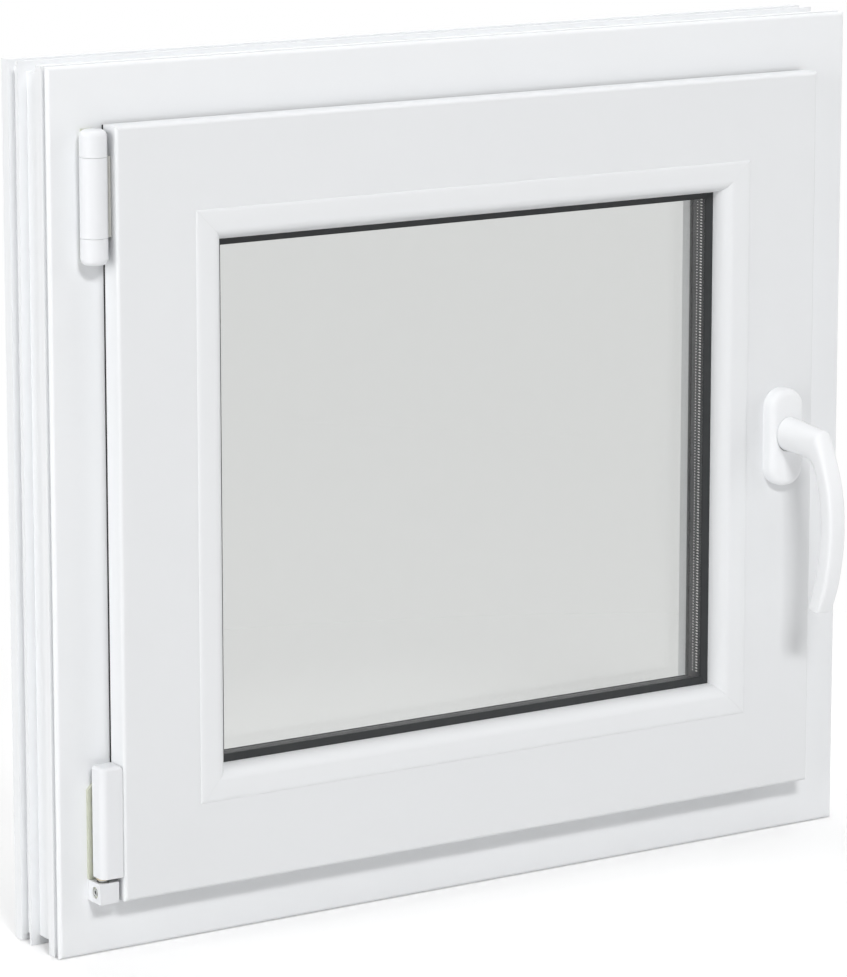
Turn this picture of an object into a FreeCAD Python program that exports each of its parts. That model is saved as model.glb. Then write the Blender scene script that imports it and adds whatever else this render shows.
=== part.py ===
"""Tilt-and-turn casement window, 650 x 600 mm, in white PVC-U profiles.

Drawing frame, in millimetres: X runs to the right as seen from the room, Y runs from
the room to the weather side, Z is up.  X = 0 and Z = 0 are the frame's outer edges and
Y = 0 is the frame's room face.  save() moves everything to the part's own origin, the
middle of the sill on the frame's front rib.

A rail is drawn as a section of (inset, depth) points, where inset is measured from the
frame's outer edge towards the glass, and is then swept along one side and mitred.
"""
import FreeCAD, Part
import math
import os
from FreeCAD import Vector

os.makedirs("parts", exist_ok=True)

# ---------------------------------------------------------------- driving dimensions
WIDTH = 650.0              # frame, outside
HEIGHT = 600.0             # frame, outside
DEPTH = 63.4               # frame, room face to weather face

WALL = 2.8                 # outer walls of the profiles
WEB = 1.6                  # walls between chambers
FIT = 0.3                  # play round a part that sits loosely in another
TOUCH = 0.1                # play of a part that is pushed into a groove
RUNNING = 0.05             # radial play of a shaft in its bore

FRAME_FACE = 47.0          # frame, outer edge to the rebate
STOP_RISE = 19.0           # frame, weather stop above the rebate
STOP_THICK = 17.4          # frame, weather stop along the depth
FRONT_RADIUS = 2.6         # frame, outer edge of the room face
RIB_FRONT = 3.0            # wall-side ribs and grooves, edges along the depth
RIB_A = 7.5
RIB_B = 15.1
RIB_C = 39.7
RIB_D = 42.3
RIB_E = 53.5
GROOVE_A = 3.6             # depths of the three wall-side grooves
GROOVE_B = 6.4
GROOVE_C = 5.0

OVERLAP = 7.8              # sash lip over the frame's room face
OVERLAP_GAP = 3.0          # air behind that lip
OVERLAP_THICK = 17.6       # sash lip along the depth
AIR_GAP = 12.0             # frame rebate to sash, where the hardware runs
WEATHER_GAP = 3.2          # sash to the frame's weather stop
SASH_FACE = 59.4           # sash, lip edge to glazing bead
SASH_RADIUS = 2.4          # sash, edge of the lip
LEG_THICK = 20.3           # sash, weather leg behind the glass
LEG_RISE = 22.9            # sash, weather leg above the glazing rebate
LEG_SLOPE = 8.5            # fall of the leg's edge towards the weather

BEAD_WIDTH = 21.9
BEAD_STEP = 1.0            # bead's outer edge below the sash face
BEAD_CROWN = 0.8           # bead's crown above the sash face
BEAD_NOSE = 5.6            # flat at the bead's inner edge

PANE = 4.0
CAVITY = 16.0
GLASS_PLAY = 5.4           # glazing rebate to the edge of the glass
OUTER_SEAL = 3.0           # gasket between glass and weather leg
INNER_SEAL = 2.5           # gasket between bead and glass
INNER_LIP = 5.0            # gasket on the room side, its lip past the bead
GASKET_INSET = 0.6         # lip gasket, inside the lip's edge
SIDE_SEAL_TIP = -0.3       # its face, just off the frame
TILT_SEAL_TIP = -1.3       # the same below the tilt axis, where the tilted sash swings back
SIGHT_OVER_BEAD = 1.8      # spacer's inner face past the bead's inner edge
SPACER_HEIGHT = 6.5

GROOVE_MIDDLE = 10.0       # hardware groove in the sash edge, middle of its width
PLATE_WIDTH = 16.0         # faceplate
PLATE_THICK = 2.5
PLATE_SEAT = 3.0           # depth of the faceplate's seat
CHANNEL_WIDTH = 12.0       # channel under the faceplate
CHANNEL_DEPTH = 12.0       # channel floor below the sash edge
ROD_WIDTH = 11.2
ROD_THICK = 2.5

HINGE_OUT = 11.2           # common vertical axis of both hinges, outside the sash lip
HINGE_Y = -10.0
BARREL_R = 9.25            # stay hinge covers
BARREL_DROP = 1.8          # stay hinge, its top below the sash lip's top
BARREL_LENGTH = 89.0
CAP_HEIGHT = 17.8
SEAM = 0.2                 # between the barrel's three covers
KNUCKLE_R = 6.5
STAY_PIN_R = 3.0
BEARING_HALF = 4.2         # stay bearing, half its width
BEARING_SCREW = (1.9, 12.0, 3.6)

TILT_RISE = 6.8            # horizontal axis of the corner bearing, above the sash lip
TILT_PIN_R = 2.5
FORK_BOTTOM = -7.1         # corner bearing heights, all from that axis
FORK_TOP = 7.0
PLATE_TOP = 73.0
PLATE_HALF = 6.2           # bearing plate, half its width
TONGUE_HALF = 4.6          # the same behind the fork's cover
PLATE_DEPTH = 2.8
POST_R = 3.0
HINGE_KNUCKLE_R = 4.4
POST_RISE = 76.0
COVER_BOTTOM_RISE = 10.4   # sash hinge cover
COVER_TOP_RISE = 87.0
COVER_LEFT = 5.2           # the same cover about the hinge axis
COVER_FRONT = 9.5
COVER_BACK = 6.0
LEAF_BOTTOM = 16.0         # sash hinge leaf
LEAF_TOP = 72.0
LEAF_THICK = 2.0
LEAF_DEPTH = 30.0          # its end along the depth
HINGE_SCREW = (2.0, 14.0, 4.0)

STAY_REACH = 190.0         # stay arm, pin to guide pin along the sash
STAY_WIDTH = 12.0
STAY_THICK = 3.0
STAY_RISE = 3.5            # arm above the sash edge
STAY_SLOT = 8.0            # slot for the guide pin
STAY_RUN = 16.0            # slot behind the guide pin's rest place
GUIDE_PIN_R = 2.5

BACKSET = 10.0             # sash edge to the handle's axis
ROSETTE_HEIGHT = 70.8
ROSETTE_WIDTH = 29.0
ROSETTE_DEPTH = 11.0
ROSETTE_WALL = 2.2
BASE_DEPTH = 5.0
SCREW_SPACING = 43.0       # handle screws
SPINDLE = 7.0              # square
SPINDLE_OUT = 24.0         # spindle, its end in the lever
NECK_R = 9.1               # round part of the lever that turns in the rosette
LEVER_DROP = 120.0         # handle axis to the lever's end
LEVER_LOOPS = (            # front and back edge seen from the side (out, up), width, corner radius
    ((11.4, 15.4), (11.4, -9.5), 21.2, 10.5),
    ((29.0, 14.0), (28.0, -8.6), 17.2, 7.9),
    ((44.0, 10.0), (39.8, -9.0), 16.0, 5.6),
    ((55.0, 0.8), (48.8, -16.0), 15.0, 5.0),
    ((64.3, -17.0), (54.8, -30.6), 14.4, 4.5),
    ((70.6, -44.6), (56.9, -52.0), 14.2, 4.3),
    ((70.2, -76.3), (55.9, -77.8), 14.2, 4.2),
    ((65.0, -99.2), (51.4, -97.8), 14.2, 4.0),
    ((57.4, 1.0 - LEVER_DROP), (44.6, 2.8 - LEVER_DROP), 14.2, 3.6),
)

MODULE = 1.0               # gearbox pinion and rack
TEETH = 13
ADDENDUM = 0.8
DEDENDUM = 1.0
PRESSURE_ANGLE = 25.0
BACKLASH = 0.12
CASE_HALF = 46.0           # gear case, half its height
CASE_REACH = 13.0          # gear case, below the channel floor
CASE_WALL = 1.5
ROD_END = 16.0             # drive rods, end to the corner drive
CORNER_LEG = 48.0          # corner drive, from the sash corner
CORNER_GUIDE = 7.0         # its guide under the faceplate
HINGE_SIDE_END = 40.0      # top and bottom faceplates, end to the sash corner
PLATE_SCREW = (1.9, 2.9, 3.4)

CAM_R = 3.0                # locking cam, shank and head
CAM_HEAD_R = 4.5
CAM_HEAD = 2.5
CAM_REACH = 7.5            # cam above the sash edge
TOP_CAM = 180.0            # top and bottom cams from the lock side
STRIKER_LENGTH = 46.0
STRIKER_WIDTH = 22.0
STRIKER_THICK = 2.0
STRIKER_SCREW = (1.75, 9.0, 3.4)
LIP_REACH = 8.0            # striker lip above the rebate
LIP_THICK = 2.2
LIP_PLAY = 1.8             # lip to the cam, so that a tilted sash's cam stays clear

SEAL_FOOT = 2.5            # push-in gaskets, width and depth of the groove
SEAL_GROOVE = 3.5
STOP_SEAL_IN = 4.5         # weather gasket's groove from the stop's edge
LIP_SEAL_IN = 2.3          # room gasket's groove from the lip's edge
CLIP_DROP = 5.0            # bead's clip behind its seat on the glass gasket
CLIP_REACH = 3.6
CLIP_THICK = 3.0
BLOCK_LENGTH = 60.0        # setting blocks
BLOCK_INSET = 80.0         # rebate corner to the middle of a block
DRAIN_LENGTH = 26.0        # drain slot and the hood over it
DRAIN_HEIGHT = 5.0
HOOD_DEPTH = 2.4

# ---------------------------------------------------------------- derived places
STOP_Y = DEPTH - STOP_THICK
SASH_EDGE = FRAME_FACE - OVERLAP
SASH_BACK_OF_LIP = -OVERLAP_GAP
SASH_FRONT = -OVERLAP_GAP - OVERLAP_THICK
SASH_SIDE = FRAME_FACE + AIR_GAP
SASH_BACK = STOP_Y - WEATHER_GAP
BEAD_OUT = SASH_EDGE + SASH_FACE
BEAD_IN = BEAD_OUT + BEAD_WIDTH
LEG_Y = SASH_BACK - LEG_THICK
LEG_IN = BEAD_OUT + LEG_RISE
GLASS_BACK = LEG_Y - OUTER_SEAL
GLASS_FRONT = GLASS_BACK - 2 * PANE - CAVITY
BEAD_BACK = GLASS_FRONT - INNER_SEAL
GLASS_EDGE = BEAD_OUT + GLASS_PLAY
SIGHT = BEAD_IN + SIGHT_OVER_BEAD
PLATE_BACK = SASH_SIDE + PLATE_THICK
CHANNEL_FLOOR = SASH_SIDE + CHANNEL_DEPTH
ROD_FRONT = PLATE_BACK + FIT
ROD_BACK = ROD_FRONT + ROD_THICK
HINGE_X = SASH_EDGE - HINGE_OUT
BARREL_TOP = HEIGHT - SASH_EDGE - BARREL_DROP
BARREL_BOTTOM = BARREL_TOP - BARREL_LENGTH
TILT_Z = SASH_EDGE + TILT_RISE
BRACKET_BOTTOM = TILT_Z + FORK_BOTTOM
BRACKET_TOP = TILT_Z + FORK_TOP
POST_TOP = TILT_Z + POST_RISE
COVER_BOTTOM = TILT_Z + COVER_BOTTOM_RISE
COVER_TOP = TILT_Z + COVER_TOP_RISE
LEAF_Z0 = TILT_Z + LEAF_BOTTOM
LEAF_Z1 = TILT_Z + LEAF_TOP
STOP_SEAL = FRAME_FACE + STOP_RISE - STOP_SEAL_IN
LIP_SEAL = SASH_EDGE + LIP_SEAL_IN
CLIP_Y = BEAD_BACK - CLIP_DROP
GROOVE_Y0 = GROOVE_MIDDLE - CHANNEL_WIDTH / 2
GROOVE_Y1 = GROOVE_MIDDLE + CHANNEL_WIDTH / 2
PLATE_Y0 = GROOVE_MIDDLE - PLATE_WIDTH / 2
PLATE_Y1 = GROOVE_MIDDLE + PLATE_WIDTH / 2
HANDLE_X = WIDTH - SASH_SIDE - BACKSET
HANDLE_Z = HEIGHT / 2
HANDLE_SCREWS = (HANDLE_Z - SCREW_SPACING / 2, HANDLE_Z + SCREW_SPACING / 2)
CAM_SETBACK = HEIGHT / 5
PITCH_R = MODULE * TEETH / 2
ROD_TRAVEL = PITCH_R * math.pi
SILL_RIB_Y = (RIB_A + RIB_B) / 2
ORIGIN = Vector(WIDTH / 2, SILL_RIB_Y, 0)

# side name: (turn about Y in degrees, corner that the rail starts from, rail length)
SIDES = {
    "bottom": (0, Vector(0, 0, 0), WIDTH),
    "right": (-90, Vector(WIDTH, 0, 0), HEIGHT),
    "top": (180, Vector(WIDTH, 0, HEIGHT), WIDTH),
    "left": (90, Vector(0, 0, HEIGHT), HEIGHT),
}


# ---------------------------------------------------------------- helpers
def save(name, *solids):
    """Write one node, moved from the drawing frame to the part's origin."""
    flat = []
    for solid in solids:
        flat += solid.Solids
    shape = Part.makeCompound(flat) if len(flat) > 1 else flat[0]
    shape.translate(ORIGIN.negative())
    shape.exportStep("parts/" + name + ".step")


def box(x0, x1, y0, y1, z0, z1):
    """A block between two corners."""
    return Part.makeBox(x1 - x0, y1 - y0, z1 - z0, Vector(x0, y0, z0))


def rod(radius, start, end):
    """A round bar from one point to another."""
    axis = end - start
    return Part.makeCylinder(radius, axis.Length, start, axis)


def upright(radius, z0, z1, x=HINGE_X, y=HINGE_Y):
    """A round upright bar, on the hinge axis unless told otherwise."""
    return Part.makeCylinder(radius, z1 - z0, Vector(x, y, z0))


def rounded_wire(points, radii):
    """A closed wire through 3-D corners, each rounded by its own radius (0 = sharp)."""
    count = len(points)
    legs = []
    for i in range(count):
        here = points[i]
        back = points[i - 1] - here
        ahead = points[(i + 1) % count] - here
        if radii[i] == 0:
            legs.append((here, None, here))
            continue
        half = back.getAngle(ahead) / 2
        back.normalize()
        ahead.normalize()
        reach = radii[i] / math.tan(half)
        inward = back + ahead
        inward.normalize()
        middle = here + inward * (radii[i] / math.sin(half) - radii[i])
        legs.append((here + back * reach, middle, here + ahead * reach))
    edges = []
    for i in range(count):
        start, middle, end = legs[i]
        if middle is not None:
            edges.append(Part.Arc(start, middle, end).toShape())
        following = legs[(i + 1) % count][0]
        if end.distanceToPoint(following) > 1e-6:
            edges.append(Part.LineSegment(end, following).toShape())
    return Part.Wire(edges)


def section(corners):
    """A section wire from (inset, depth) or (inset, depth, radius) corners."""
    points = [Vector(0, c[1], c[0]) for c in corners]
    radii = [c[2] if len(c) > 2 else 0 for c in corners]
    return rounded_wire(points, radii)


def rectangle(t0, t1, y0, y1, radius=0):
    """A section rectangle, for chambers and strips."""
    return section([(t0, y0, radius), (t1, y0, radius), (t1, y1, radius), (t0, y1, radius)])


def hollow(outer, chambers):
    """A section face with chambers."""
    return Part.makeFace([outer] + chambers, "Part::FaceMakerBullseye")


def place(shape, side):
    """Carry a shape drawn on the bottom rail round to another side."""
    turn, corner, _ = SIDES[side]
    moved = shape.copy()
    moved.rotate(Vector(0, 0, 0), Vector(0, 1, 0), turn)
    moved.translate(corner)
    return moved


def mitred(face, side):
    """Sweep a section along one side and cut both ends at 45 degrees."""
    length = SIDES[side][2]
    depth = 2 * DEPTH
    tip = min(WIDTH, HEIGHT) / 2 - 1
    corners = [
        Vector(0, -depth, 0),
        Vector(length, -depth, 0),
        Vector(length - tip, -depth, tip),
        Vector(tip, -depth, tip),
    ]
    wedge = Part.Face(Part.makePolygon(corners + corners[:1])).extrude(Vector(0, 2 * depth, 0))
    return place(face.extrude(Vector(length, 0, 0)).common(wedge), side)


def straight(face, side, x0, x1):
    """Sweep a section along part of one side, with square ends."""
    piece = face.extrude(Vector(x1 - x0, 0, 0))
    piece.translate(Vector(x0, 0, 0))
    return place(piece, side)


def ring(face):
    """The same section mitred round all four sides."""
    return [mitred(face, side) for side in SIDES]


def turned(profile):
    """A body turned about Z from (radius, height) corners."""
    points = [Vector(r, 0, z) for r, z in profile]
    return Part.Face(Part.makePolygon(points + points[:1])).revolve(Vector(0, 0, 0), Vector(0, 0, 1), 360)


def screw(radius, length, head_r):
    """A countersunk screw: head flush at the origin, shank along -Z, cross recess."""
    head_h = head_r - radius
    body = turned([(0, 0), (head_r, 0), (radius, -head_h), (radius, -length), (0, -length)])
    arm = head_r * 0.5
    half = head_r * 0.13
    cross = [
        (arm, half), (half, half), (half, arm), (-half, arm), (-half, half), (-arm, half),
        (-arm, -half), (-half, -half), (-half, -arm), (half, -arm), (half, -half), (arm, -half),
    ]
    corners = [Vector(x, y, -head_h * 0.8) for x, y in cross]
    recess = Part.Face(Part.makePolygon(corners + corners[:1])).extrude(Vector(0, 0, head_h))
    return body.cut(recess)


def screw_hole(radius, length, head_r):
    """The hole that the screw above sits in, larger by its play and open past the head."""
    head_h = head_r - radius
    wide = head_r + 2 * TOUCH
    narrow = radius + TOUCH
    foot = -length - TOUCH
    return turned([(0, TOUCH), (wide, TOUCH), (narrow, -head_h), (narrow, foot), (0, foot)])


def aim(shape, point, outward):
    """Turn a shape's +Z to a direction and move its origin to a point."""
    turn = FreeCAD.Rotation(Vector(0, 0, 1), outward)
    moved = shape.copy()
    moved.Placement = FreeCAD.Placement(point, turn)
    return moved


def drill(shape, places, size):
    """Cut a hole for each screw placed at (point, outward)."""
    for point, outward in places:
        shape = shape.cut(aim(screw_hole(*size), point, outward))
    return shape


def screws(places, size):
    """The screws for a list of places."""
    return [aim(screw(*size), point, outward) for point, outward in places]


# ---------------------------------------------------------------- frame
def frame_section():
    """Multi-chamber frame profile with its wall-side ribs and weather stop."""
    stop_in = FRAME_FACE + STOP_RISE
    seal_in = STOP_SEAL + SEAL_FOOT
    seal_y = STOP_Y + SEAL_GROOVE
    outer = section([
        (0, 0, FRONT_RADIUS), (FRAME_FACE, 0, 1.0), (FRAME_FACE, STOP_Y),
        (STOP_SEAL, STOP_Y), (STOP_SEAL, seal_y), (seal_in, seal_y),
        (seal_in, STOP_Y), (stop_in, STOP_Y, 0.8), (stop_in - 4.0, DEPTH, 1.5),
        (0, DEPTH, 1.0), (0, RIB_E), (GROOVE_C, RIB_E), (GROOVE_C, RIB_D),
        (0, RIB_D), (0, RIB_C), (GROOVE_B, RIB_C), (GROOVE_B, RIB_B),
        (0, RIB_B), (0, RIB_A), (GROOVE_A, RIB_A), (GROOVE_A, RIB_FRONT),
        (0, RIB_FRONT),
    ])
    inner = FRAME_FACE - WALL
    steel_y0 = RIB_B - WEB
    steel_y1 = RIB_C - WEB
    back_y = steel_y1 + WEB
    split = (GROOVE_C + FRAME_FACE) / 2
    chambers = [
        rectangle(GROOVE_A + WALL, inner, WALL, steel_y0 - WEB),
        rectangle(GROOVE_B + WALL, inner, steel_y0, steel_y1),
        rectangle(GROOVE_C + WALL, split - WEB / 2, back_y, DEPTH - WALL),
        rectangle(split + WEB / 2, inner, back_y, DEPTH - WALL),
        rectangle(inner + WEB, STOP_SEAL - WEB, STOP_Y + WALL, DEPTH - WALL),
    ]
    steel = (GROOVE_B + WALL + FIT, inner - FIT, steel_y0 + FIT, steel_y1 - FIT)
    return hollow(outer, chambers), steel


def steel_tube(t0, t1, y0, y1, wall=1.5):
    """Galvanised reinforcement, a square-cut tube in the main chamber."""
    return hollow(rectangle(t0, t1, y0, y1, 2.5), [rectangle(t0 + wall, t1 - wall, y0 + wall, y1 - wall)])


def stop_gasket():
    """Weather gasket in the frame's stop, foot in the groove and lip to the sash."""
    foot0 = STOP_SEAL + TOUCH
    foot1 = STOP_SEAL + SEAL_FOOT - TOUCH
    foot_y = STOP_Y + SEAL_GROOVE - FIT
    tip = SASH_BACK + FIT
    return Part.Face(section([
        (foot0, STOP_Y), (foot0, foot_y), (foot1, foot_y), (foot1, STOP_Y), (STOP_SEAL + 4.0, STOP_Y),
        (STOP_SEAL + 3.4, tip, 1.0), (STOP_SEAL + 0.2, tip, 1.0), (STOP_SEAL - 1.4, STOP_Y),
    ]))


# ---------------------------------------------------------------- sash
def sash_section():
    """Multi-chamber sash profile: lip, hardware groove, glazing rebate and weather leg."""
    g0 = PLATE_Y0 - TOUCH
    g1 = PLATE_Y1 + TOUCH
    seat = SASH_SIDE + PLATE_SEAT
    seal_in = LIP_SEAL + SEAL_FOOT
    seal_y = SASH_BACK_OF_LIP - SEAL_GROOVE
    clip_in = BEAD_OUT - CLIP_REACH
    outer = section([
        (SASH_EDGE, SASH_FRONT, SASH_RADIUS), (BEAD_OUT, SASH_FRONT, 0.6),
        (BEAD_OUT, CLIP_Y), (clip_in, CLIP_Y), (clip_in, CLIP_Y + CLIP_THICK),
        (BEAD_OUT, CLIP_Y + CLIP_THICK), (BEAD_OUT, LEG_Y), (LEG_IN, LEG_Y, 0.8),
        (LEG_IN - LEG_SLOPE, SASH_BACK, 1.5), (SASH_SIDE, SASH_BACK, 1.0),
        (SASH_SIDE, g1), (seat, g1), (seat, GROOVE_Y1), (CHANNEL_FLOOR, GROOVE_Y1),
        (CHANNEL_FLOOR, GROOVE_Y0), (seat, GROOVE_Y0), (seat, g0), (SASH_SIDE, g0),
        (SASH_SIDE, SASH_BACK_OF_LIP, 0.3), (seal_in, SASH_BACK_OF_LIP), (seal_in, seal_y),
        (LIP_SEAL, seal_y), (LIP_SEAL, SASH_BACK_OF_LIP), (SASH_EDGE, SASH_BACK_OF_LIP, 0.8),
    ])
    lip_y = seal_y - WEB
    main_y0 = lip_y + WEB
    main_y1 = LEG_Y - WALL
    main_t0 = CHANNEL_FLOOR + WALL
    main_t1 = clip_in - WALL
    back_split = (SASH_SIDE + BEAD_OUT) / 2
    chambers = [
        rectangle(SASH_EDGE + WALL, SASH_SIDE - WEB, SASH_FRONT + WALL, lip_y),
        rectangle(SASH_SIDE, main_t1, SASH_FRONT + WALL, lip_y),
        rectangle(main_t0, main_t1, main_y0, main_y1),
        rectangle(SASH_SIDE + WALL, back_split - WEB / 2, main_y1 + WEB, SASH_BACK - WALL),
        rectangle(back_split + WEB / 2, BEAD_OUT - WEB, main_y1 + WEB, SASH_BACK - WALL),
        rectangle(BEAD_OUT, LEG_IN - LEG_SLOPE - WALL, LEG_Y + WALL, SASH_BACK - WALL),
    ]
    steel = (main_t0 + FIT, main_t1 - FIT, main_y0 + FIT, main_y1 - FIT)
    return hollow(outer, chambers), steel


def bead_section():
    """Crowned glazing bead with one chamber and the clip foot that holds it."""
    top = SASH_FRONT - BEAD_CROWN
    clip_in = BEAD_OUT - CLIP_REACH + FIT
    clip_y0 = CLIP_Y + 2 * TOUCH
    clip_y1 = CLIP_Y + CLIP_THICK - 2 * TOUCH
    outer = section([
        (BEAD_OUT, SASH_FRONT + BEAD_STEP), (BEAD_OUT + 5.2, top, 7.0),
        (BEAD_IN - 9.0, top, 8.0), (BEAD_IN, BEAD_BACK - BEAD_NOSE, 3.0), (BEAD_IN, BEAD_BACK),
        (BEAD_OUT + CLIP_THICK, BEAD_BACK), (BEAD_OUT + CLIP_THICK, clip_y1),
        (clip_in, clip_y1), (clip_in, clip_y0), (BEAD_OUT, clip_y0),
    ])
    chamber = section([
        (BEAD_OUT + 5.0, top + 3.2), (BEAD_IN - 9.0, top + 3.2),
        (BEAD_IN - 3.0, BEAD_BACK - 5.0), (BEAD_IN - 3.0, BEAD_BACK - 2.0),
        (BEAD_OUT + 5.0, BEAD_BACK - 2.0),
    ])
    return hollow(outer, [chamber])


def lip_gasket(tip):
    """Room-side gasket on the back of the sash lip, its outer edge just inside the lip's."""
    back = SASH_BACK_OF_LIP
    outer = SASH_EDGE + GASKET_INSET
    foot0 = LIP_SEAL + TOUCH
    foot1 = LIP_SEAL + SEAL_FOOT - TOUCH
    foot_y = back - SEAL_GROOVE + FIT
    return Part.Face(section([
        (foot0, back), (foot0, foot_y), (foot1, foot_y), (foot1, back), (LIP_SEAL + 3.6, back),
        (LIP_SEAL + 2.6, tip, 0.3), (outer, tip, 0.3), (outer, back),
    ]))


def glazing():
    """Panes, spacer, edge seal, gaskets and setting blocks of the sealed unit."""
    edge = GLASS_EDGE
    for name, y0 in (("inner_pane", GLASS_FRONT), ("outer_pane", GLASS_BACK - PANE)):
        save(name, box(edge, WIDTH - edge, y0, y0 + PANE, edge, HEIGHT - edge))
    y0 = GLASS_FRONT + PANE
    y1 = GLASS_BACK - PANE
    spacer_t = SIGHT - SPACER_HEIGHT
    tube = hollow(rectangle(spacer_t, SIGHT, y0, y1),
                  [rectangle(spacer_t + 1.0, SIGHT - 1.0, y0 + 1.0, y1 - 1.0)])
    save("spacer_bar", *ring(tube))
    save("edge_seal", *ring(Part.Face(rectangle(edge, spacer_t, y0, y1))))
    inner = Part.Face(section([
        (BEAD_IN - 4.5, BEAD_BACK), (BEAD_IN + 0.6, BEAD_BACK, 1.0),
        (BEAD_IN + INNER_LIP, GLASS_FRONT - 0.8, 0.3), (BEAD_IN + INNER_LIP, GLASS_FRONT),
        (BEAD_IN - 4.5, GLASS_FRONT),
    ]))
    outer = Part.Face(section([
        (LEG_IN - 7.0, GLASS_BACK), (LEG_IN + 0.6, GLASS_BACK, 0.3),
        (LEG_IN, LEG_Y, 1.0), (LEG_IN - 7.0, LEG_Y),
    ]))
    save("inner_glazing_gasket", *ring(inner))
    save("outer_glazing_gasket", *ring(outer))
    block = Part.Face(rectangle(BEAD_OUT, edge, GLASS_FRONT + 1.0, GLASS_BACK - 1.0))
    blocks = []
    for side in SIDES:
        for middle in (BEAD_OUT + BLOCK_INSET, SIDES[side][2] - BEAD_OUT - BLOCK_INSET):
            blocks.append(straight(block, side, middle - BLOCK_LENGTH / 2, middle + BLOCK_LENGTH / 2))
    save("setting_blocks", *blocks)


# ---------------------------------------------------------------- espagnolette
def involute_pinion(y0, y1):
    """Gearbox pinion on the handle axis, a tooth space turned towards the rack."""
    angle = math.radians(PRESSURE_ANGLE)
    base = PITCH_R * math.cos(angle)
    tip = PITCH_R + ADDENDUM * MODULE
    root = PITCH_R - DEDENDUM * MODULE
    thick = math.pi * MODULE / 2 - BACKLASH
    half_pitch = thick / (2 * PITCH_R)
    at_pitch = math.tan(angle) - angle
    steps = 3
    flank = []
    for i in range(steps + 1):
        r = max(base, root) + (tip - max(base, root)) * i / steps
        a = math.acos(min(1.0, base / r))
        flank.append((r, half_pitch + at_pitch - (math.tan(a) - a)))
    points = []
    for tooth in range(TEETH):
        middle = 2 * math.pi * (tooth + 0.5) / TEETH
        side = [(root, flank[0][1])] + flank
        for r, a in side:
            points.append((r, middle - a))
        for r, a in reversed(side):
            points.append((r, middle + a))
    # angle 0 looks away from the room's right, towards the rack on the glass side
    ring_points = [Vector(-r * math.cos(a), 0, r * math.sin(a)) for r, a in points]
    gear = Part.Face(Part.makePolygon(ring_points + ring_points[:1]))
    gear.translate(Vector(HANDLE_X, y0 + 2.0, HANDLE_Z))
    gear = gear.extrude(Vector(0, y1 - y0 - 4.0, 0))
    hub_r = PITCH_R - DEDENDUM * MODULE - 0.2
    start = Vector(HANDLE_X, y0, HANDLE_Z)
    gear = gear.fuse(rod(hub_r, start, start + Vector(0, y1 - y0, 0)))
    half = SPINDLE / 2 + TOUCH
    bore = box(HANDLE_X - half, HANDLE_X + half, y0 - 1, y1 + 1, HANDLE_Z - half, HANDLE_Z + half)
    return gear.cut(bore), hub_r


def rack_rod(y0, y1):
    """Lock-side drive rod: strip, rack behind the pinion, and the two bridges between."""
    pitch = math.pi * MODULE
    slope = math.tan(math.radians(PRESSURE_ANGLE))
    line_x = HANDLE_X - PITCH_R
    half = (pitch / 2 - BACKLASH) / 2
    reach = PITCH_R + ADDENDUM * MODULE + 1.2
    low = HANDLE_Z - ROD_TRAVEL - reach
    high = HANDLE_Z + reach
    tip_x = line_x + ADDENDUM * MODULE
    root_x = line_x - DEDENDUM * MODULE
    back_x = root_x - 2.2
    outline = [Vector(back_x, y0, low), Vector(root_x, y0, low)]
    first = math.ceil((low + pitch - HANDLE_Z) / pitch)
    last = math.floor((high - pitch - HANDLE_Z) / pitch)
    for n in range(first, last + 1):
        z = HANDLE_Z + n * pitch
        outline.append(Vector(root_x, y0, z - half - slope * DEDENDUM * MODULE))
        outline.append(Vector(tip_x, y0, z - half + slope * ADDENDUM * MODULE))
        outline.append(Vector(tip_x, y0, z + half - slope * ADDENDUM * MODULE))
        outline.append(Vector(root_x, y0, z + half + slope * DEDENDUM * MODULE))
    outline += [Vector(root_x, y0, high), Vector(back_x, y0, high)]
    rack = Part.Face(Part.makePolygon(outline + outline[:1])).extrude(Vector(0, y1 - y0, 0))
    strip_x0 = WIDTH - ROD_BACK
    strip_x1 = WIDTH - ROD_FRONT
    bridge = 5.0
    rod_y0 = GROOVE_MIDDLE - ROD_WIDTH / 2
    rod_y1 = GROOVE_MIDDLE + ROD_WIDTH / 2
    for z0, z1 in ((low - bridge, low), (high, high + bridge)):
        rack = rack.fuse(box(back_x, strip_x1, y0, y1, z0, z1))
    z_low, z_high = lock_rod_ends()
    neck_low = HANDLE_Z - CASE_HALF - ROD_TRAVEL - FIT
    neck_high = HANDLE_Z + CASE_HALF + FIT
    for z0, z1, w0, w1 in (
        (z_low, neck_low, rod_y0, rod_y1), (neck_low, low, y0, y1),
        (high, neck_high, y0, y1), (neck_high, z_high, rod_y0, rod_y1),
    ):
        rack = rack.fuse(box(strip_x0, strip_x1, w0, w1, z0, z1))
    return rack.removeSplitter()


def lock_rod_ends():
    """Ends of the lock-side rod, clear of the corner drives over its travel."""
    low = SASH_SIDE + CORNER_LEG + ROD_END
    return low, HEIGHT - low - ROD_TRAVEL


def cam(x):
    """A locking cam on the bottom rail at x: shank through the faceplate, round head."""
    axis = Vector(0, 0, -1)
    top = SASH_SIDE - CAM_REACH
    shank = Part.makeCylinder(CAM_R, ROD_FRONT - top, Vector(x, GROOVE_MIDDLE, ROD_FRONT), axis)
    head = Part.makeCylinder(CAM_HEAD_R, CAM_HEAD, Vector(x, GROOVE_MIDDLE, top))
    return shank.fuse(head)


def cam_slot(x, travel):
    """Slot in the faceplate that the cam's shank runs along, towards +travel."""
    clear = CAM_R + 0.4
    x0, x1 = min(x, x + travel), max(x, x + travel)
    slot = box(x0, x1, GROOVE_MIDDLE - clear, GROOVE_MIDDLE + clear, SASH_SIDE - 1, PLATE_BACK + 1)
    for end in (x0, x1):
        slot = slot.fuse(Part.makeCylinder(clear, PLATE_THICK + 2, Vector(end, GROOVE_MIDDLE, SASH_SIDE - 1)))
    return slot


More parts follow.
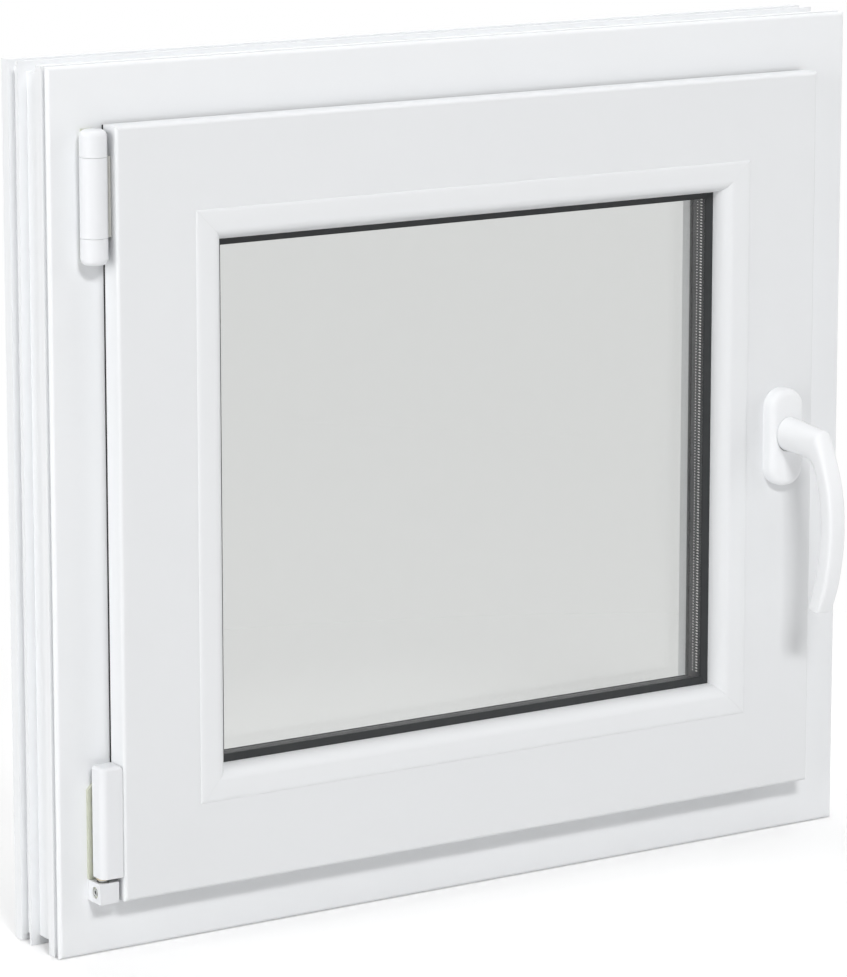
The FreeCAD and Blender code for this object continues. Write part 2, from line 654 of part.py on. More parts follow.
def striker(x, direction):
    """Keep on the frame rebate; its lip stands ahead of the cam's rest place."""
    y0 = GROOVE_MIDDLE - CAM_HEAD_R - LIP_PLAY - LIP_THICK
    x0 = x - STRIKER_LENGTH / 2
    plate = box(x0, x0 + STRIKER_LENGTH, y0, y0 + STRIKER_WIDTH, FRAME_FACE, FRAME_FACE + STRIKER_THICK)
    near = x + direction * (CAM_HEAD_R + 1.5)
    far = x + direction * (CAM_HEAD_R + 14.0)
    lean = direction * 3.0
    corners = [
        Vector(near, y0, FRAME_FACE + STRIKER_THICK),
        Vector(near + lean, y0, FRAME_FACE + LIP_REACH),
        Vector(far, y0, FRAME_FACE + LIP_REACH),
        Vector(far, y0, FRAME_FACE + STRIKER_THICK),
    ]
    lip = Part.Face(Part.makePolygon(corners + corners[:1])).extrude(Vector(0, LIP_THICK, 0))
    places = []
    for end in (x0 + 5.0, x0 + STRIKER_LENGTH - 5.0):
        places.append((Vector(end, y0 + STRIKER_WIDTH - 6.0, FRAME_FACE + STRIKER_THICK), Vector(0, 0, 1)))
    return drill(plate.fuse(lip), places, STRIKER_SCREW), places


def striker_spots():
    """Cam and striker places: (side, x along the rail, direction of travel)."""
    return [
        ("right", HANDLE_Z - CAM_SETBACK, 1),
        ("right", HANDLE_Z + CAM_SETBACK, 1),
        ("top", TOP_CAM, 1),
        ("bottom", WIDTH - TOP_CAM, 1),
    ]


# ---------------------------------------------------------------- build: frame
def build_frame():
    """Frame bars, reinforcements, weather gasket, strikers and drainage."""
    face, steel = frame_section()
    bars = {side: mitred(face, side) for side in SIDES}
    tube = steel_tube(*steel)
    steels = {}
    for side in SIDES:
        length = SIDES[side][2]
        steels[side] = straight(tube, side, FRAME_FACE + 1.0, length - FRAME_FACE - 1.0)
    save("frame_gasket", *ring(stop_gasket()))

    plates = []
    fixings = []
    for side, x, direction in striker_spots():
        plate, places = striker(x, direction)
        plates.append(place(plate, side))
        for point, outward in places:
            hole = place(aim(screw_hole(*STRIKER_SCREW), point, outward), side)
            bars[side] = bars[side].cut(hole)
            steels[side] = steels[side].cut(hole)
            fixings.append(place(aim(screw(*STRIKER_SCREW), point, outward), side))
    save("frame_steels", *steels.values())
    save("strikers", *plates)
    save("striker_screws", *fixings)

    caps = []
    half = DRAIN_LENGTH / 2
    slot_z = FRAME_FACE * 0.72
    for x in (WIDTH * 0.2, WIDTH * 0.8):
        slot = box(x - half, x + half, DEPTH - WALL - 1, DEPTH + 1,
                   slot_z - DRAIN_HEIGHT / 2, slot_z + DRAIN_HEIGHT / 2)
        bars["bottom"] = bars["bottom"].cut(slot)
        hood = box(x - half - 5.0, x + half + 5.0, DEPTH, DEPTH + HOOD_DEPTH,
                   slot_z - DRAIN_HEIGHT, slot_z + DRAIN_HEIGHT)
        hood = hood.makeFillet(1.0, [e for e in hood.Edges if e.BoundBox.YMin > DEPTH + HOOD_DEPTH - 0.4])
        hood = hood.cut(box(x - half + 1.0, x + half - 1.0, DEPTH - 1, DEPTH + HOOD_DEPTH / 2,
                            slot_z - DRAIN_HEIGHT - 1, slot_z + 2.0))
        tongue = box(x - half + 0.4, x + half - 0.4, DEPTH - WALL, DEPTH, slot_z + 1.0, slot_z + 2.2)
        caps.append(hood.fuse(tongue))
    save("drain_caps", *caps)
    return bars


# ---------------------------------------------------------------- build: stay hinge
def build_stay_hinge(bars):
    """Frame bearing with its two covers, the pin, and the stay arm with its barrel."""
    low = BARREL_BOTTOM
    high = BARREL_TOP
    low_seam = low + CAP_HEIGHT
    high_seam = high - CAP_HEIGHT
    half_w = BEARING_HALF
    foot = 2.0
    relief = 0.5
    bearing = box(HINGE_X - half_w, HINGE_X + half_w, -relief, 0, low + 0.5, high - 0.5)
    for z0, z1 in ((low + 0.5, low_seam - FIT), (high_seam + FIT, high - 0.5)):
        bearing = bearing.fuse(box(HINGE_X - half_w, HINGE_X + half_w, -foot, 0, z0, z1))
        eye0 = max(z0, low + 3.0)
        eye1 = min(z1, high - 3.0)
        bearing = bearing.fuse(upright(KNUCKLE_R, eye0, eye1))
        bearing = bearing.fuse(box(HINGE_X - 3.5, HINGE_X + 3.5, HINGE_Y, 0, eye0, eye1))
    bearing = bearing.cut(upright(STAY_PIN_R + RUNNING, low, high))
    places = []
    for z in (low_seam + 12.0, high_seam - 12.0):
        places.append((Vector(HINGE_X, -relief, z), Vector(0, -1, 0)))
    flat = (BEARING_SCREW[0], BEARING_SCREW[1], BEARING_SCREW[0] + relief)
    bearing = drill(bearing, places, flat)
    bars["left"] = drill(bars["left"], places, flat)
    save("stay_bearing", bearing)
    save("stay_bearing_screws", *screws(places, flat))

    bore = upright(KNUCKLE_R + FIT / 2, low + 2.5, high - 2.5)
    slot = box(HINGE_X - 3.8, HINGE_X + 3.8, HINGE_Y, 0, low + 2.5, high - 2.5)
    behind = box(HINGE_X - 20, HINGE_X + 20, -foot - TOUCH, 1, low - 1, high + 1)
    barrel = upright(BARREL_R, low, high)
    ends = [e for e in barrel.Edges if abs(e.BoundBox.ZMax - e.BoundBox.ZMin) < 0.01]
    barrel = barrel.makeFillet(4.5, ends).cut(bore)
    caps = barrel.cut(behind).cut(slot)
    everything = (HINGE_X - 20, HINGE_X + 20, HINGE_Y - 20, HINGE_Y + 20)
    save("stay_cap_lower", caps.common(box(*everything, low, low_seam)))
    save("stay_cap_upper", caps.common(box(*everything, high_seam, high)))
    save("stay_pin", upright(STAY_PIN_R, low + 3.2, high - 3.2))

    side_x0 = HINGE_X + BARREL_R + 0.05
    side_x1 = SASH_EDGE - 0.4
    z0 = low_seam + SEAM
    z1 = high_seam - SEAM
    cover = barrel.common(box(*everything, z0, z1))
    cover = cover.cut(box(side_x0 - FIT, side_x1 + 5, HINGE_Y - 20, HINGE_Y + 20, low, high))
    cover = cover.cut(box(HINGE_X, side_x1, HINGE_Y - 3.3, HINGE_Y + 3.3, low, high))
    save("stay_arm_cover", cover)

    gap_y0 = SASH_BACK_OF_LIP + 0.6
    gap_y1 = -0.4
    sash_top = HEIGHT - SASH_SIDE
    arm_z0 = sash_top + STAY_RISE
    arm_z1 = arm_z0 + STAY_THICK
    knee_x = FRAME_FACE + 0.5
    arm_y0 = GROOVE_MIDDLE - STAY_WIDTH / 2
    arm_y1 = GROOVE_MIDDLE + STAY_WIDTH / 2
    end_x = HINGE_X + STAY_REACH
    arm = upright(KNUCKLE_R, z0, z1)
    arm = arm.fuse(box(HINGE_X, side_x1, HINGE_Y - 3.0, HINGE_Y + 3.0, z0, z1))
    arm = arm.fuse(box(side_x0, side_x1, HINGE_Y - 3.5, gap_y1, z0, z1))
    arm = arm.fuse(box(side_x0, SASH_SIDE - 2.0, gap_y0, gap_y1, z1 - 36.0, z1))
    arm = arm.fuse(box(knee_x, SASH_SIDE - 2.0, gap_y0, gap_y1, z1 - 36.0, arm_z1))
    arm = arm.fuse(box(knee_x, SASH_SIDE - 2.0, gap_y0, arm_y1, arm_z0, arm_z1))
    bar = box(knee_x, end_x, arm_y0, arm_y1, arm_z0, arm_z1)
    tip = Part.makeCylinder(STAY_WIDTH / 2, STAY_THICK, Vector(end_x, GROOVE_MIDDLE, arm_z0))
    arm = arm.fuse(bar).fuse(tip)
    arm = arm.cut(upright(STAY_PIN_R + RUNNING, low, high))
    for x in (HINGE_X + STAY_REACH * 0.45, HINGE_X + STAY_REACH * 0.7):
        arm = arm.cut(Part.makeCylinder(2.2, 10, Vector(x, GROOVE_MIDDLE, arm_z0 - 2)))
    arm = arm.cut(Part.makeCylinder(GUIDE_PIN_R + RUNNING, 10, Vector(end_x, GROOVE_MIDDLE, arm_z0 - 2)))
    save("stay_arm", arm.removeSplitter())
    foot = Vector(end_x, GROOVE_MIDDLE, sash_top - 8.0)
    pin = Part.makeCylinder(GUIDE_PIN_R, arm_z1 - foot.z, foot)
    head = Part.makeCylinder(GUIDE_PIN_R + 1.6, 1.2, Vector(end_x, GROOVE_MIDDLE, arm_z1))
    save("stay_guide_pin", pin.fuse(head))
    return z0, z1


# ---------------------------------------------------------------- build: corner bearing
def build_corner_bearing(bars):
    """Bearing plate and fork on the frame, tilt pin, cover, and the pivot post."""
    wall = 1.2
    plate_z1 = TILT_Z + PLATE_TOP
    plate = box(HINGE_X - PLATE_HALF, HINGE_X + PLATE_HALF, -PLATE_DEPTH, 0, BRACKET_TOP + FIT, plate_z1)
    plate = plate.fuse(box(HINGE_X - TONGUE_HALF, HINGE_X + TONGUE_HALF, -PLATE_DEPTH, 0,
                           BRACKET_BOTTOM + wall + TOUCH, BRACKET_TOP + 1)).removeSplitter()
    edges = [e for e in plate.Edges if e.BoundBox.ZMin > plate_z1 - 0.01 and e.BoundBox.YLength > 1]
    plate = plate.makeChamfer(4.0, edges)

    # fork block in its cover: round towards the sash at the front, square behind the axis
    side_r = HINGE_OUT - FIT
    left = HINGE_X - 6.0
    front = HINGE_Y - 7.0
    far_left = box(HINGE_X - 30, HINGE_X, -40, 10, BRACKET_BOTTOM, BRACKET_TOP)
    outlines = []
    for radius in (side_r, side_r - wall, side_r - wall - TOUCH):
        outline = upright(radius, BRACKET_BOTTOM, BRACKET_TOP).fuse(far_left)
        outlines.append(outline.fuse(
            box(HINGE_X, HINGE_X + radius, HINGE_Y, 10, BRACKET_BOTTOM, BRACKET_TOP)))
    cover = box(left, HINGE_X + side_r, front, 0, BRACKET_BOTTOM, BRACKET_TOP).common(outlines[0])
    pocket = box(left + wall, HINGE_X + side_r, front + wall, 1, BRACKET_BOTTOM + wall, BRACKET_TOP - wall)
    block = box(left + wall + TOUCH, HINGE_X + side_r, front + wall + TOUCH, 0,
                BRACKET_BOTTOM + wall + TOUCH, BRACKET_TOP - wall - FIT)
    cover = cover.cut(pocket.common(outlines[1]))
    block = block.common(outlines[2])
    tongue = TONGUE_HALF + TOUCH
    cover = cover.cut(box(HINGE_X - tongue, HINGE_X + tongue, -PLATE_DEPTH - TOUCH, 1,
                          BRACKET_BOTTOM + wall, BRACKET_TOP + 1))

    lug_half = 2.3
    slot = box(HINGE_X - lug_half - 0.2, HINGE_X + lug_half + 0.2, front - 1, -PLATE_DEPTH - 0.4,
               BRACKET_BOTTOM, BRACKET_TOP)
    tilt_axis = Vector(HINGE_X - 5.6, HINGE_Y, TILT_Z)
    tilt_end = Vector(HINGE_X + 9.0, HINGE_Y, TILT_Z)
    beyond = Vector(5, 0, 0)
    bearing = plate.fuse(block).cut(slot)
    bearing = bearing.cut(rod(TILT_PIN_R + 0.02, tilt_axis - beyond, tilt_end + beyond))
    places = []
    for rise in (20.0, 40.0, 60.0):
        places.append((Vector(HINGE_X, -PLATE_DEPTH, TILT_Z + rise), Vector(0, -1, 0)))
    bearing = drill(bearing, places, HINGE_SCREW)
    bars["left"] = drill(bars["left"], places, HINGE_SCREW)
    save("corner_bearing", bearing.removeSplitter())
    save("corner_bearing_screws", *screws(places, HINGE_SCREW))

    cover = cover.cut(rod(4.0, tilt_axis - beyond, tilt_axis + Vector(2, 0, 0)))
    mouth = upright(POST_R + 0.9, BRACKET_TOP - 3, BRACKET_TOP + 1)
    for shift in (-1.3, 0.3):
        moved = mouth.copy()
        moved.translate(Vector(0, shift, 0))
        cover = cover.cut(moved)
    save("corner_bearing_cover", cover.removeSplitter())

    pin = rod(TILT_PIN_R, tilt_axis, tilt_end)
    hexagon = []
    for i in range(7):
        turn = math.radians(60 * i)
        hexagon.append(Vector(left, HINGE_Y + 1.45 * math.cos(turn), TILT_Z + 1.45 * math.sin(turn)))
    socket = Part.Face(Part.makePolygon(hexagon)).extrude(Vector(2.4, 0, 0))
    save("tilt_pin", pin.cut(socket))

    lug = rod(5.0, Vector(HINGE_X - lug_half, HINGE_Y, TILT_Z), Vector(HINGE_X + lug_half, HINGE_Y, TILT_Z))
    neck = box(HINGE_X - lug_half, HINGE_X + lug_half, HINGE_Y - 2.6, HINGE_Y + 2.6, TILT_Z, BRACKET_TOP)
    post = lug.fuse(neck).fuse(upright(POST_R, BRACKET_TOP - 0.6, POST_TOP))
    post = post.cut(rod(TILT_PIN_R + RUNNING, tilt_axis - beyond, tilt_end))
    save("pivot_post", post.removeSplitter())
    collar = upright(HINGE_KNUCKLE_R, COVER_BOTTOM - 1.8, COVER_BOTTOM - 0.3)
    save("pivot_collar", collar.cut(upright(POST_R + RUNNING, COVER_BOTTOM - 3, COVER_BOTTOM + 1)))


def build_sash_hinge(bars):
    """Knuckle and leaf of the lower hinge, with its white cover."""
    knuckle_r = HINGE_KNUCKLE_R
    z0 = COVER_BOTTOM + FIT
    z1 = POST_TOP + 2.0
    side_x1 = SASH_EDGE - TOUCH
    side_x0 = side_x1 - LEAF_THICK
    gap_y0 = SASH_BACK_OF_LIP + 0.4
    gap_y1 = -0.6
    leaf_x0 = SASH_SIDE - LEAF_THICK
    hinge = upright(knuckle_r, z0, z1)
    hinge = hinge.fuse(box(HINGE_X, side_x1, HINGE_Y - 3.0, HINGE_Y + 3.0, LEAF_Z0, LEAF_Z1))
    hinge = hinge.fuse(box(side_x0, side_x1, HINGE_Y - 3.0, gap_y1, LEAF_Z0, LEAF_Z1))
    hinge = hinge.fuse(box(side_x0, SASH_SIDE, gap_y0, gap_y1, LEAF_Z0, LEAF_Z1))
    hinge = hinge.fuse(box(leaf_x0, SASH_SIDE, gap_y0, LEAF_DEPTH, LEAF_Z0, LEAF_Z1))
    hinge = hinge.cut(upright(POST_R + RUNNING, z0 - 1, POST_TOP + 0.5))
    places = []
    for z in (LEAF_Z0 + 10.0, (LEAF_Z0 + LEAF_Z1) / 2, LEAF_Z1 - 10.0):
        places.append((Vector(leaf_x0, LEAF_DEPTH - 6.0, z), Vector(-1, 0, 0)))
    hinge = drill(hinge, places, HINGE_SCREW)
    bars["left"] = drill(bars["left"], places, HINGE_SCREW)
    save("sash_hinge", hinge.removeSplitter())
    save("sash_hinge_screws", *screws(places, HINGE_SCREW))

    x0 = HINGE_X - COVER_LEFT
    x1 = SASH_EDGE
    y0 = HINGE_Y - COVER_FRONT
    y1 = HINGE_Y + COVER_BACK
    base = rounded_wire(
        [Vector(x0, y0, COVER_BOTTOM), Vector(x1, y0, COVER_BOTTOM),
         Vector(x1, y1, COVER_BOTTOM), Vector(x0, y1, COVER_BOTTOM)], [5.0, 1.0, 0, 3.0])
    cover = Part.Face(base).extrude(Vector(0, 0, COVER_TOP - COVER_BOTTOM))
    rim = [e for e in cover.Edges if e.BoundBox.ZMin > COVER_TOP - 0.01 and e.BoundBox.YMin < y1 - 0.01
           and e.BoundBox.XMin < x1 - 0.01]
    cover = cover.makeFillet(2.5, rim)
    cover = cover.cut(upright(knuckle_r + FIT / 2, COVER_BOTTOM - 1, z1 + FIT))
    cover = cover.cut(box(HINGE_X, x1 + 1, HINGE_Y - 3.2, y1 + 1, COVER_BOTTOM - 1, LEAF_Z1 + FIT))
    save("sash_hinge_cover", cover)


# ---------------------------------------------------------------- build: sash
def build_sash(stay_z0, stay_z1):
    """Sash bars, reinforcements, gaskets, beads, and everything that rides in them."""
    face, steel = sash_section()
    bars = {side: mitred(face, side) for side in SIDES}
    tube = steel_tube(*steel)
    steels = {}
    for side in SIDES:
        steels[side] = straight(tube, side, BEAD_OUT + 1.0, SIDES[side][2] - BEAD_OUT - 1.0)
    for store, play in ((bars, FIT + 2 * TOUCH), (steels, FIT + 1.2)):
        store["right"] = store["right"].cut(box(
            WIDTH - CHANNEL_FLOOR - CASE_REACH - play, WIDTH - SASH_SIDE + 1,
            GROOVE_Y0, GROOVE_Y1, HANDLE_Z - CASE_HALF - 2 * play, HANDLE_Z + CASE_HALF + 2 * play))

    front_y = SASH_FRONT - 1
    case_front = GROOVE_Y0 + TOUCH
    holes = [rod(6.5, Vector(HANDLE_X, front_y, HANDLE_Z), Vector(HANDLE_X, case_front, HANDLE_Z))]
    for z in HANDLE_SCREWS:
        holes.append(rod(2.8, Vector(HANDLE_X, front_y, z), Vector(HANDLE_X, case_front, z)))
    for hole in holes:
        bars["right"] = bars["right"].cut(hole)
        steels["right"] = steels["right"].cut(hole)
    save("sash_steels", *steels.values())

    build_sash_hinge(bars)
    seal = {side: mitred(lip_gasket(SIDE_SEAL_TIP), side) for side in SIDES}
    seal["bottom"] = mitred(lip_gasket(TILT_SEAL_TIP), "bottom")
    low_corners = box(0, WIDTH, TILT_SEAL_TIP, 0, 0, TILT_Z + 0.5)
    for side in ("left", "right"):
        seal[side] = seal[side].cut(low_corners)
    for z0, z1 in ((LEAF_Z0 - 2.0, LEAF_Z1 + 2.0), (stay_z0 - 2.0, stay_z1 + 12.0)):
        seal["left"] = seal["left"].cut(box(SASH_EDGE - 5, SASH_SIDE, -8, 0, z0, z1))
    save("sash_gasket", *seal.values())
    for side in SIDES:
        save("sash_bar_" + side, bars[side])
        save("bead_" + side, mitred(bead_section(), side))


def build_espagnolette():
    """Gearbox, faceplates, corner drives, drive rods and cams."""
    y0 = GROOVE_Y0 + TOUCH
    y1 = GROOVE_Y1 - TOUCH
    pinion, hub_r = involute_pinion(y0, y1)
    save("gearbox_pinion", pinion)

    wall = CASE_WALL
    back_x = WIDTH - CHANNEL_FLOOR - CASE_REACH
    front_x = WIDTH - PLATE_BACK - TOUCH
    z0 = HANDLE_Z - CASE_HALF
    z1 = HANDLE_Z + CASE_HALF
    case = box(back_x, front_x, y0, y0 + wall, z0, z1)
    case = case.fuse(box(back_x, front_x, y1 - wall, y1, z0, z1))
    case = case.fuse(box(back_x, back_x + wall, y0, y1, z0, z1))
    for end0, end1 in ((z0, z0 + 2 * wall), (z1 - 2 * wall, z1)):
        case = case.fuse(box(back_x, WIDTH - ROD_BACK - FIT, y0, y1, end0, end1))
    start = Vector(HANDLE_X, y0 - 1, HANDLE_Z)
    case = case.cut(rod(hub_r + RUNNING, start, start + Vector(0, y1 - y0 + 2, 0)))
    for z in HANDLE_SCREWS:
        case = case.cut(rod(2.5, Vector(HANDLE_X, y0 - 1, z), Vector(HANDLE_X, y0 + wall + 0.1, z)))
    save("gearbox_case", case.removeSplitter())

    save("lock_rod", rack_rod(y0 + 2.0, y1 - 2.0))

    rod_y = (GROOVE_MIDDLE - ROD_WIDTH / 2, GROOVE_MIDDLE + ROD_WIDTH / 2)
    strip = Part.Face(rectangle(ROD_FRONT, ROD_BACK, *rod_y))
    cams = {"right": [], "top": [], "bottom": []}
    slots = {"right": [], "top": [], "bottom": []}
    for side, x, direction in striker_spots():
        cams[side].append(place(cam(x), side))
        slots[side].append(place(cam_slot(x, direction * ROD_TRAVEL), side))
    save("lock_cams", *cams["right"])
    near = SASH_SIDE + CORNER_LEG + ROD_END
    top_rod = straight(strip, "top", near, TOP_CAM + 60.0)
    save("top_rod", top_rod.fuse(cams["top"][0]))
    bottom_rod = straight(strip, "bottom", WIDTH - TOP_CAM - 60.0, WIDTH - near - ROD_TRAVEL)
    save("bottom_rod", bottom_rod.fuse(cams["bottom"][0]))

    plate = Part.Face(rectangle(SASH_SIDE, PLATE_BACK, PLATE_Y0, PLATE_Y1))
    runs = {
        "right": (SASH_SIDE + CORNER_LEG + TOUCH, HEIGHT - SASH_SIDE - CORNER_LEG - TOUCH),
        "top": (SASH_SIDE + CORNER_LEG + TOUCH, WIDTH - SASH_SIDE - HINGE_SIDE_END),
        "bottom": (SASH_SIDE + HINGE_SIDE_END, WIDTH - SASH_SIDE - CORNER_LEG - TOUCH),
    }
    names = {"right": "faceplate_lock_side", "top": "faceplate_top", "bottom": "faceplate_bottom"}
    fixings = []
    guide_x = HINGE_X + STAY_REACH
    slot_half = STAY_SLOT / 2
    for side, (x0, x1) in runs.items():
        body = straight(plate, side, x0, x1)
        for slot in slots[side]:
            body = body.cut(slot)
        if side == "top":
            z = HEIGHT - SASH_SIDE
            body = body.cut(box(guide_x - STAY_RUN, guide_x + 6.0, GROOVE_MIDDLE - slot_half,
                                GROOVE_MIDDLE + slot_half, z - 10, z + 1))
        for x in (x0 + 9.0, x1 - 9.0):
            spot = Vector(x, GROOVE_MIDDLE, SASH_SIDE)
            down = Vector(0, 0, -1)
            body = body.cut(place(aim(screw_hole(*PLATE_SCREW), spot, down), side))
            fixings.append(place(aim(screw(*PLATE_SCREW), spot, down), side))
        save(names[side], body)
    save("faceplate_screws", *fixings)

    x1 = WIDTH - SASH_SIDE
    leg_z = SASH_SIDE + CORNER_LEG
    inner = PLATE_THICK + CORNER_GUIDE
    elbow = box(x1 - CORNER_LEG, x1, PLATE_Y0, PLATE_Y1, SASH_SIDE, PLATE_BACK)
    elbow = elbow.fuse(box(x1 - PLATE_THICK, x1, PLATE_Y0, PLATE_Y1, SASH_SIDE, leg_z))
    elbow = elbow.fuse(box(x1 - CORNER_LEG, x1 - PLATE_THICK, y0, y1, PLATE_BACK, SASH_SIDE + inner))
    elbow = elbow.fuse(box(x1 - inner, x1 - PLATE_THICK, y0, y1, PLATE_BACK, leg_z)).removeSplitter()
    drives = [elbow, elbow.mirror(Vector(0, 0, HEIGHT / 2), Vector(0, 0, 1))]
    save("corner_drives", *drives)


# ---------------------------------------------------------------- build: handle
def stadium(width, height, y0, y1, corner):
    """An upright pad with rounded corners, centred on the handle axis."""
    half_w = width / 2
    half_h = height / 2
    points = [
        Vector(HANDLE_X - half_w, y1, HANDLE_Z - half_h), Vector(HANDLE_X + half_w, y1, HANDLE_Z - half_h),
        Vector(HANDLE_X + half_w, y1, HANDLE_Z + half_h), Vector(HANDLE_X - half_w, y1, HANDLE_Z + half_h),
    ]
    return Part.Face(rounded_wire(points, [corner] * 4)).extrude(Vector(0, y0 - y1, 0))


def lever_loop(front, back, wide, corner):
    """One closed loop of the lever: a rounded rectangle between its front and back edge."""
    side = Vector(wide / 2, 0, 0)
    high = Vector(HANDLE_X, SASH_FRONT - front[0], HANDLE_Z + front[1])
    low = Vector(HANDLE_X, SASH_FRONT - back[0], HANDLE_Z + back[1])
    return rounded_wire([low - side, low + side, high + side, high - side], [corner] * 4)


def build_handle():
    """Base plate, rosette, screws, spindle and the curved lever."""
    face = SASH_FRONT
    base = stadium(ROSETTE_WIDTH - 5.0, ROSETTE_HEIGHT - 6.0, face - BASE_DEPTH, face, 11.0)
    start = Vector(HANDLE_X, face + 1, HANDLE_Z)
    base = base.cut(rod(8.2, start, start - Vector(0, 20, 0)))
    size = (2.4, BASE_DEPTH - face + GROOVE_Y0 + CASE_WALL, 4.2)
    places = [(Vector(HANDLE_X, face - BASE_DEPTH, z), Vector(0, -1, 0)) for z in HANDLE_SCREWS]
    base = drill(base, places, size)
    save("handle_base", base)
    save("handle_screws", *screws(places, size))

    rosette = stadium(ROSETTE_WIDTH, ROSETTE_HEIGHT, face - ROSETTE_DEPTH, face, 13.5)
    rim = [e for e in rosette.Edges if e.BoundBox.YMax < face - ROSETTE_DEPTH + 0.01]
    rosette = rosette.makeFillet(5.0, rim)
    hollow_w = ROSETTE_WIDTH - 2 * ROSETTE_WALL
    hollow_h = ROSETTE_HEIGHT - 2 * ROSETTE_WALL - 1.0
    rosette = rosette.cut(stadium(hollow_w, hollow_h, face - BASE_DEPTH - FIT, face + 1, 11.3))
    rosette = rosette.cut(rod(NECK_R + 0.7, start, start - Vector(0, 30, 0)))
    save("handle_rosette", rosette)

    half = SPINDLE / 2
    save("spindle", box(HANDLE_X - half, HANDLE_X + half, face - SPINDLE_OUT, GROOVE_Y1 - 1.0,
                        HANDLE_Z - half, HANDLE_Z + half))

    loops = [lever_loop(*loop) for loop in LEVER_LOOPS]
    start = Vector(HANDLE_X, face - BASE_DEPTH - 0.5, HANDLE_Z)
    root = Vector(HANDLE_X, face - LEVER_LOOPS[0][0][0] - 0.6, HANDLE_Z)
    lever = Part.makeLoft(loops, True, False).fuse(rod(NECK_R, start, root))
    wide = half + TOUCH
    save("handle_lever", lever.cut(box(HANDLE_X - wide, HANDLE_X + wide, face - SPINDLE_OUT - TOUCH, face,
                                       HANDLE_Z - wide, HANDLE_Z + wide)))


# ---------------------------------------------------------------- build all
frame_bars = build_frame()
stay_low, stay_high = build_stay_hinge(frame_bars)
build_corner_bearing(frame_bars)
for name, bar in frame_bars.items():
    save("frame_bar_" + name, bar)
build_sash(stay_low, stay_high)
glazing()
build_espagnolette()
build_handle()
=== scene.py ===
# %% [markdown]
# # A tilt-and-turn window, dressed from its CAD model
#
# A tilt-and-turn window is a fixed white frame, a sash that swings or leans into the room, a
# sealed glass unit clipped in behind beads, and the hinges and handle that carry and work it.
# The CAD model gives every solid its true place and size, in metres, with the window standing
# on the origin: +X to the right seen from the room, +Y to the weather side, +Z up.
# The shapes could be drawn again here, but they are exact already, so this script only adds
# what CAD leaves out: finishes, a few fine pieces, light and a camera.

# %% Load the model
import math

import bmesh
import bpy
import numpy as np
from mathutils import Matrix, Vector


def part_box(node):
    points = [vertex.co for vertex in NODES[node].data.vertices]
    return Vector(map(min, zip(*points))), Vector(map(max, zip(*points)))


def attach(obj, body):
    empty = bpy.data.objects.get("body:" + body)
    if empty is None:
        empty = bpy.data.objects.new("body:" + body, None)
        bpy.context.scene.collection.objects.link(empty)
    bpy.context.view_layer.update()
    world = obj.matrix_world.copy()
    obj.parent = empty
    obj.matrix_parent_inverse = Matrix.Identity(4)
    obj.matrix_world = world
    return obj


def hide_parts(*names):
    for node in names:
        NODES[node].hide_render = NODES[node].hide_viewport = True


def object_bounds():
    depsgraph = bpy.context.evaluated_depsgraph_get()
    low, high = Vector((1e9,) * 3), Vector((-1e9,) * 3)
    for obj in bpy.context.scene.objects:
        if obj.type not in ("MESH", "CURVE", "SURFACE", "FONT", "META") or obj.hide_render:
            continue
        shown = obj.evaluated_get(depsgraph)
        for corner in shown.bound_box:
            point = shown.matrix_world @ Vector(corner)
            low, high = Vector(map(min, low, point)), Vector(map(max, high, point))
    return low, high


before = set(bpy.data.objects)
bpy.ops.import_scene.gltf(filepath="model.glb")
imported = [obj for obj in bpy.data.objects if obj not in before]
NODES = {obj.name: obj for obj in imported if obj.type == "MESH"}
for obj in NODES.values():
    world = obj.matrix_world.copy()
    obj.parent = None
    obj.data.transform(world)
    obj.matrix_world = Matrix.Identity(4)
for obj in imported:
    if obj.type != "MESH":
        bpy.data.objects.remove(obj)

CAD_LOW, CAD_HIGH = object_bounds()
MM = 0.001
print("model box in mm:", [round(float(v) * 1000, 1) for v in (*CAD_LOW, *CAD_HIGH)])


# %% [markdown]
# ## Shader nodes in a few words
#
# A finish is a small graph of nodes. It could be painted on an image, but an image has one
# resolution and has to be wrapped round every bar, while a graph works out the pattern at any
# point of the solid. Writing each graph link by link hides the idea, so a helper adds one node
# with its settings and wires its inputs by name. Every finish below then reads as a list: where
# the pattern is looked up, what it looks like, and what it changes.

# %% A helper for shader graphs
def new_material(name):
    """A node material with its surface output and one Principled shader."""
    material = bpy.data.materials.new(name)
    material.use_nodes = True
    tree = material.node_tree
    shader = next(n for n in tree.nodes if n.type == "BSDF_PRINCIPLED")
    return material, tree, shader


def add(tree, kind, inputs=(), **settings):
    """Add a node; inputs maps socket names to constants or to other nodes' outputs."""
    node = tree.nodes.new(kind)
    for key, value in settings.items():
        setattr(node, key, value)
    for key, value in dict(inputs).items():
        if isinstance(value, bpy.types.NodeSocket):
            tree.links.new(value, node.inputs[key])
        else:
            node.inputs[key].default_value = value
    return node


def position(tree, scale=(1, 1, 1)):
    """Object coordinates in metres, stretched per axis: a big scale makes a fine pattern."""
    where = add(tree, "ShaderNodeTexCoord").outputs["Object"]
    return add(tree, "ShaderNodeMapping", {"Vector": where, "Scale": scale}).outputs[0]


def speckle(tree, vector, scale, detail=3.0):
    """A smooth random value between 0 and 1."""
    noise = add(tree, "ShaderNodeTexNoise", {"Vector": vector, "Scale": scale, "Detail": detail})
    return noise.outputs["Fac"]


def between(tree, value, low, high):
    """The value, from 0..1, mapped to low..high."""
    ends = {"Value": value, "To Min": low, "To Max": high}
    return add(tree, "ShaderNodeMapRange", ends).outputs["Result"]


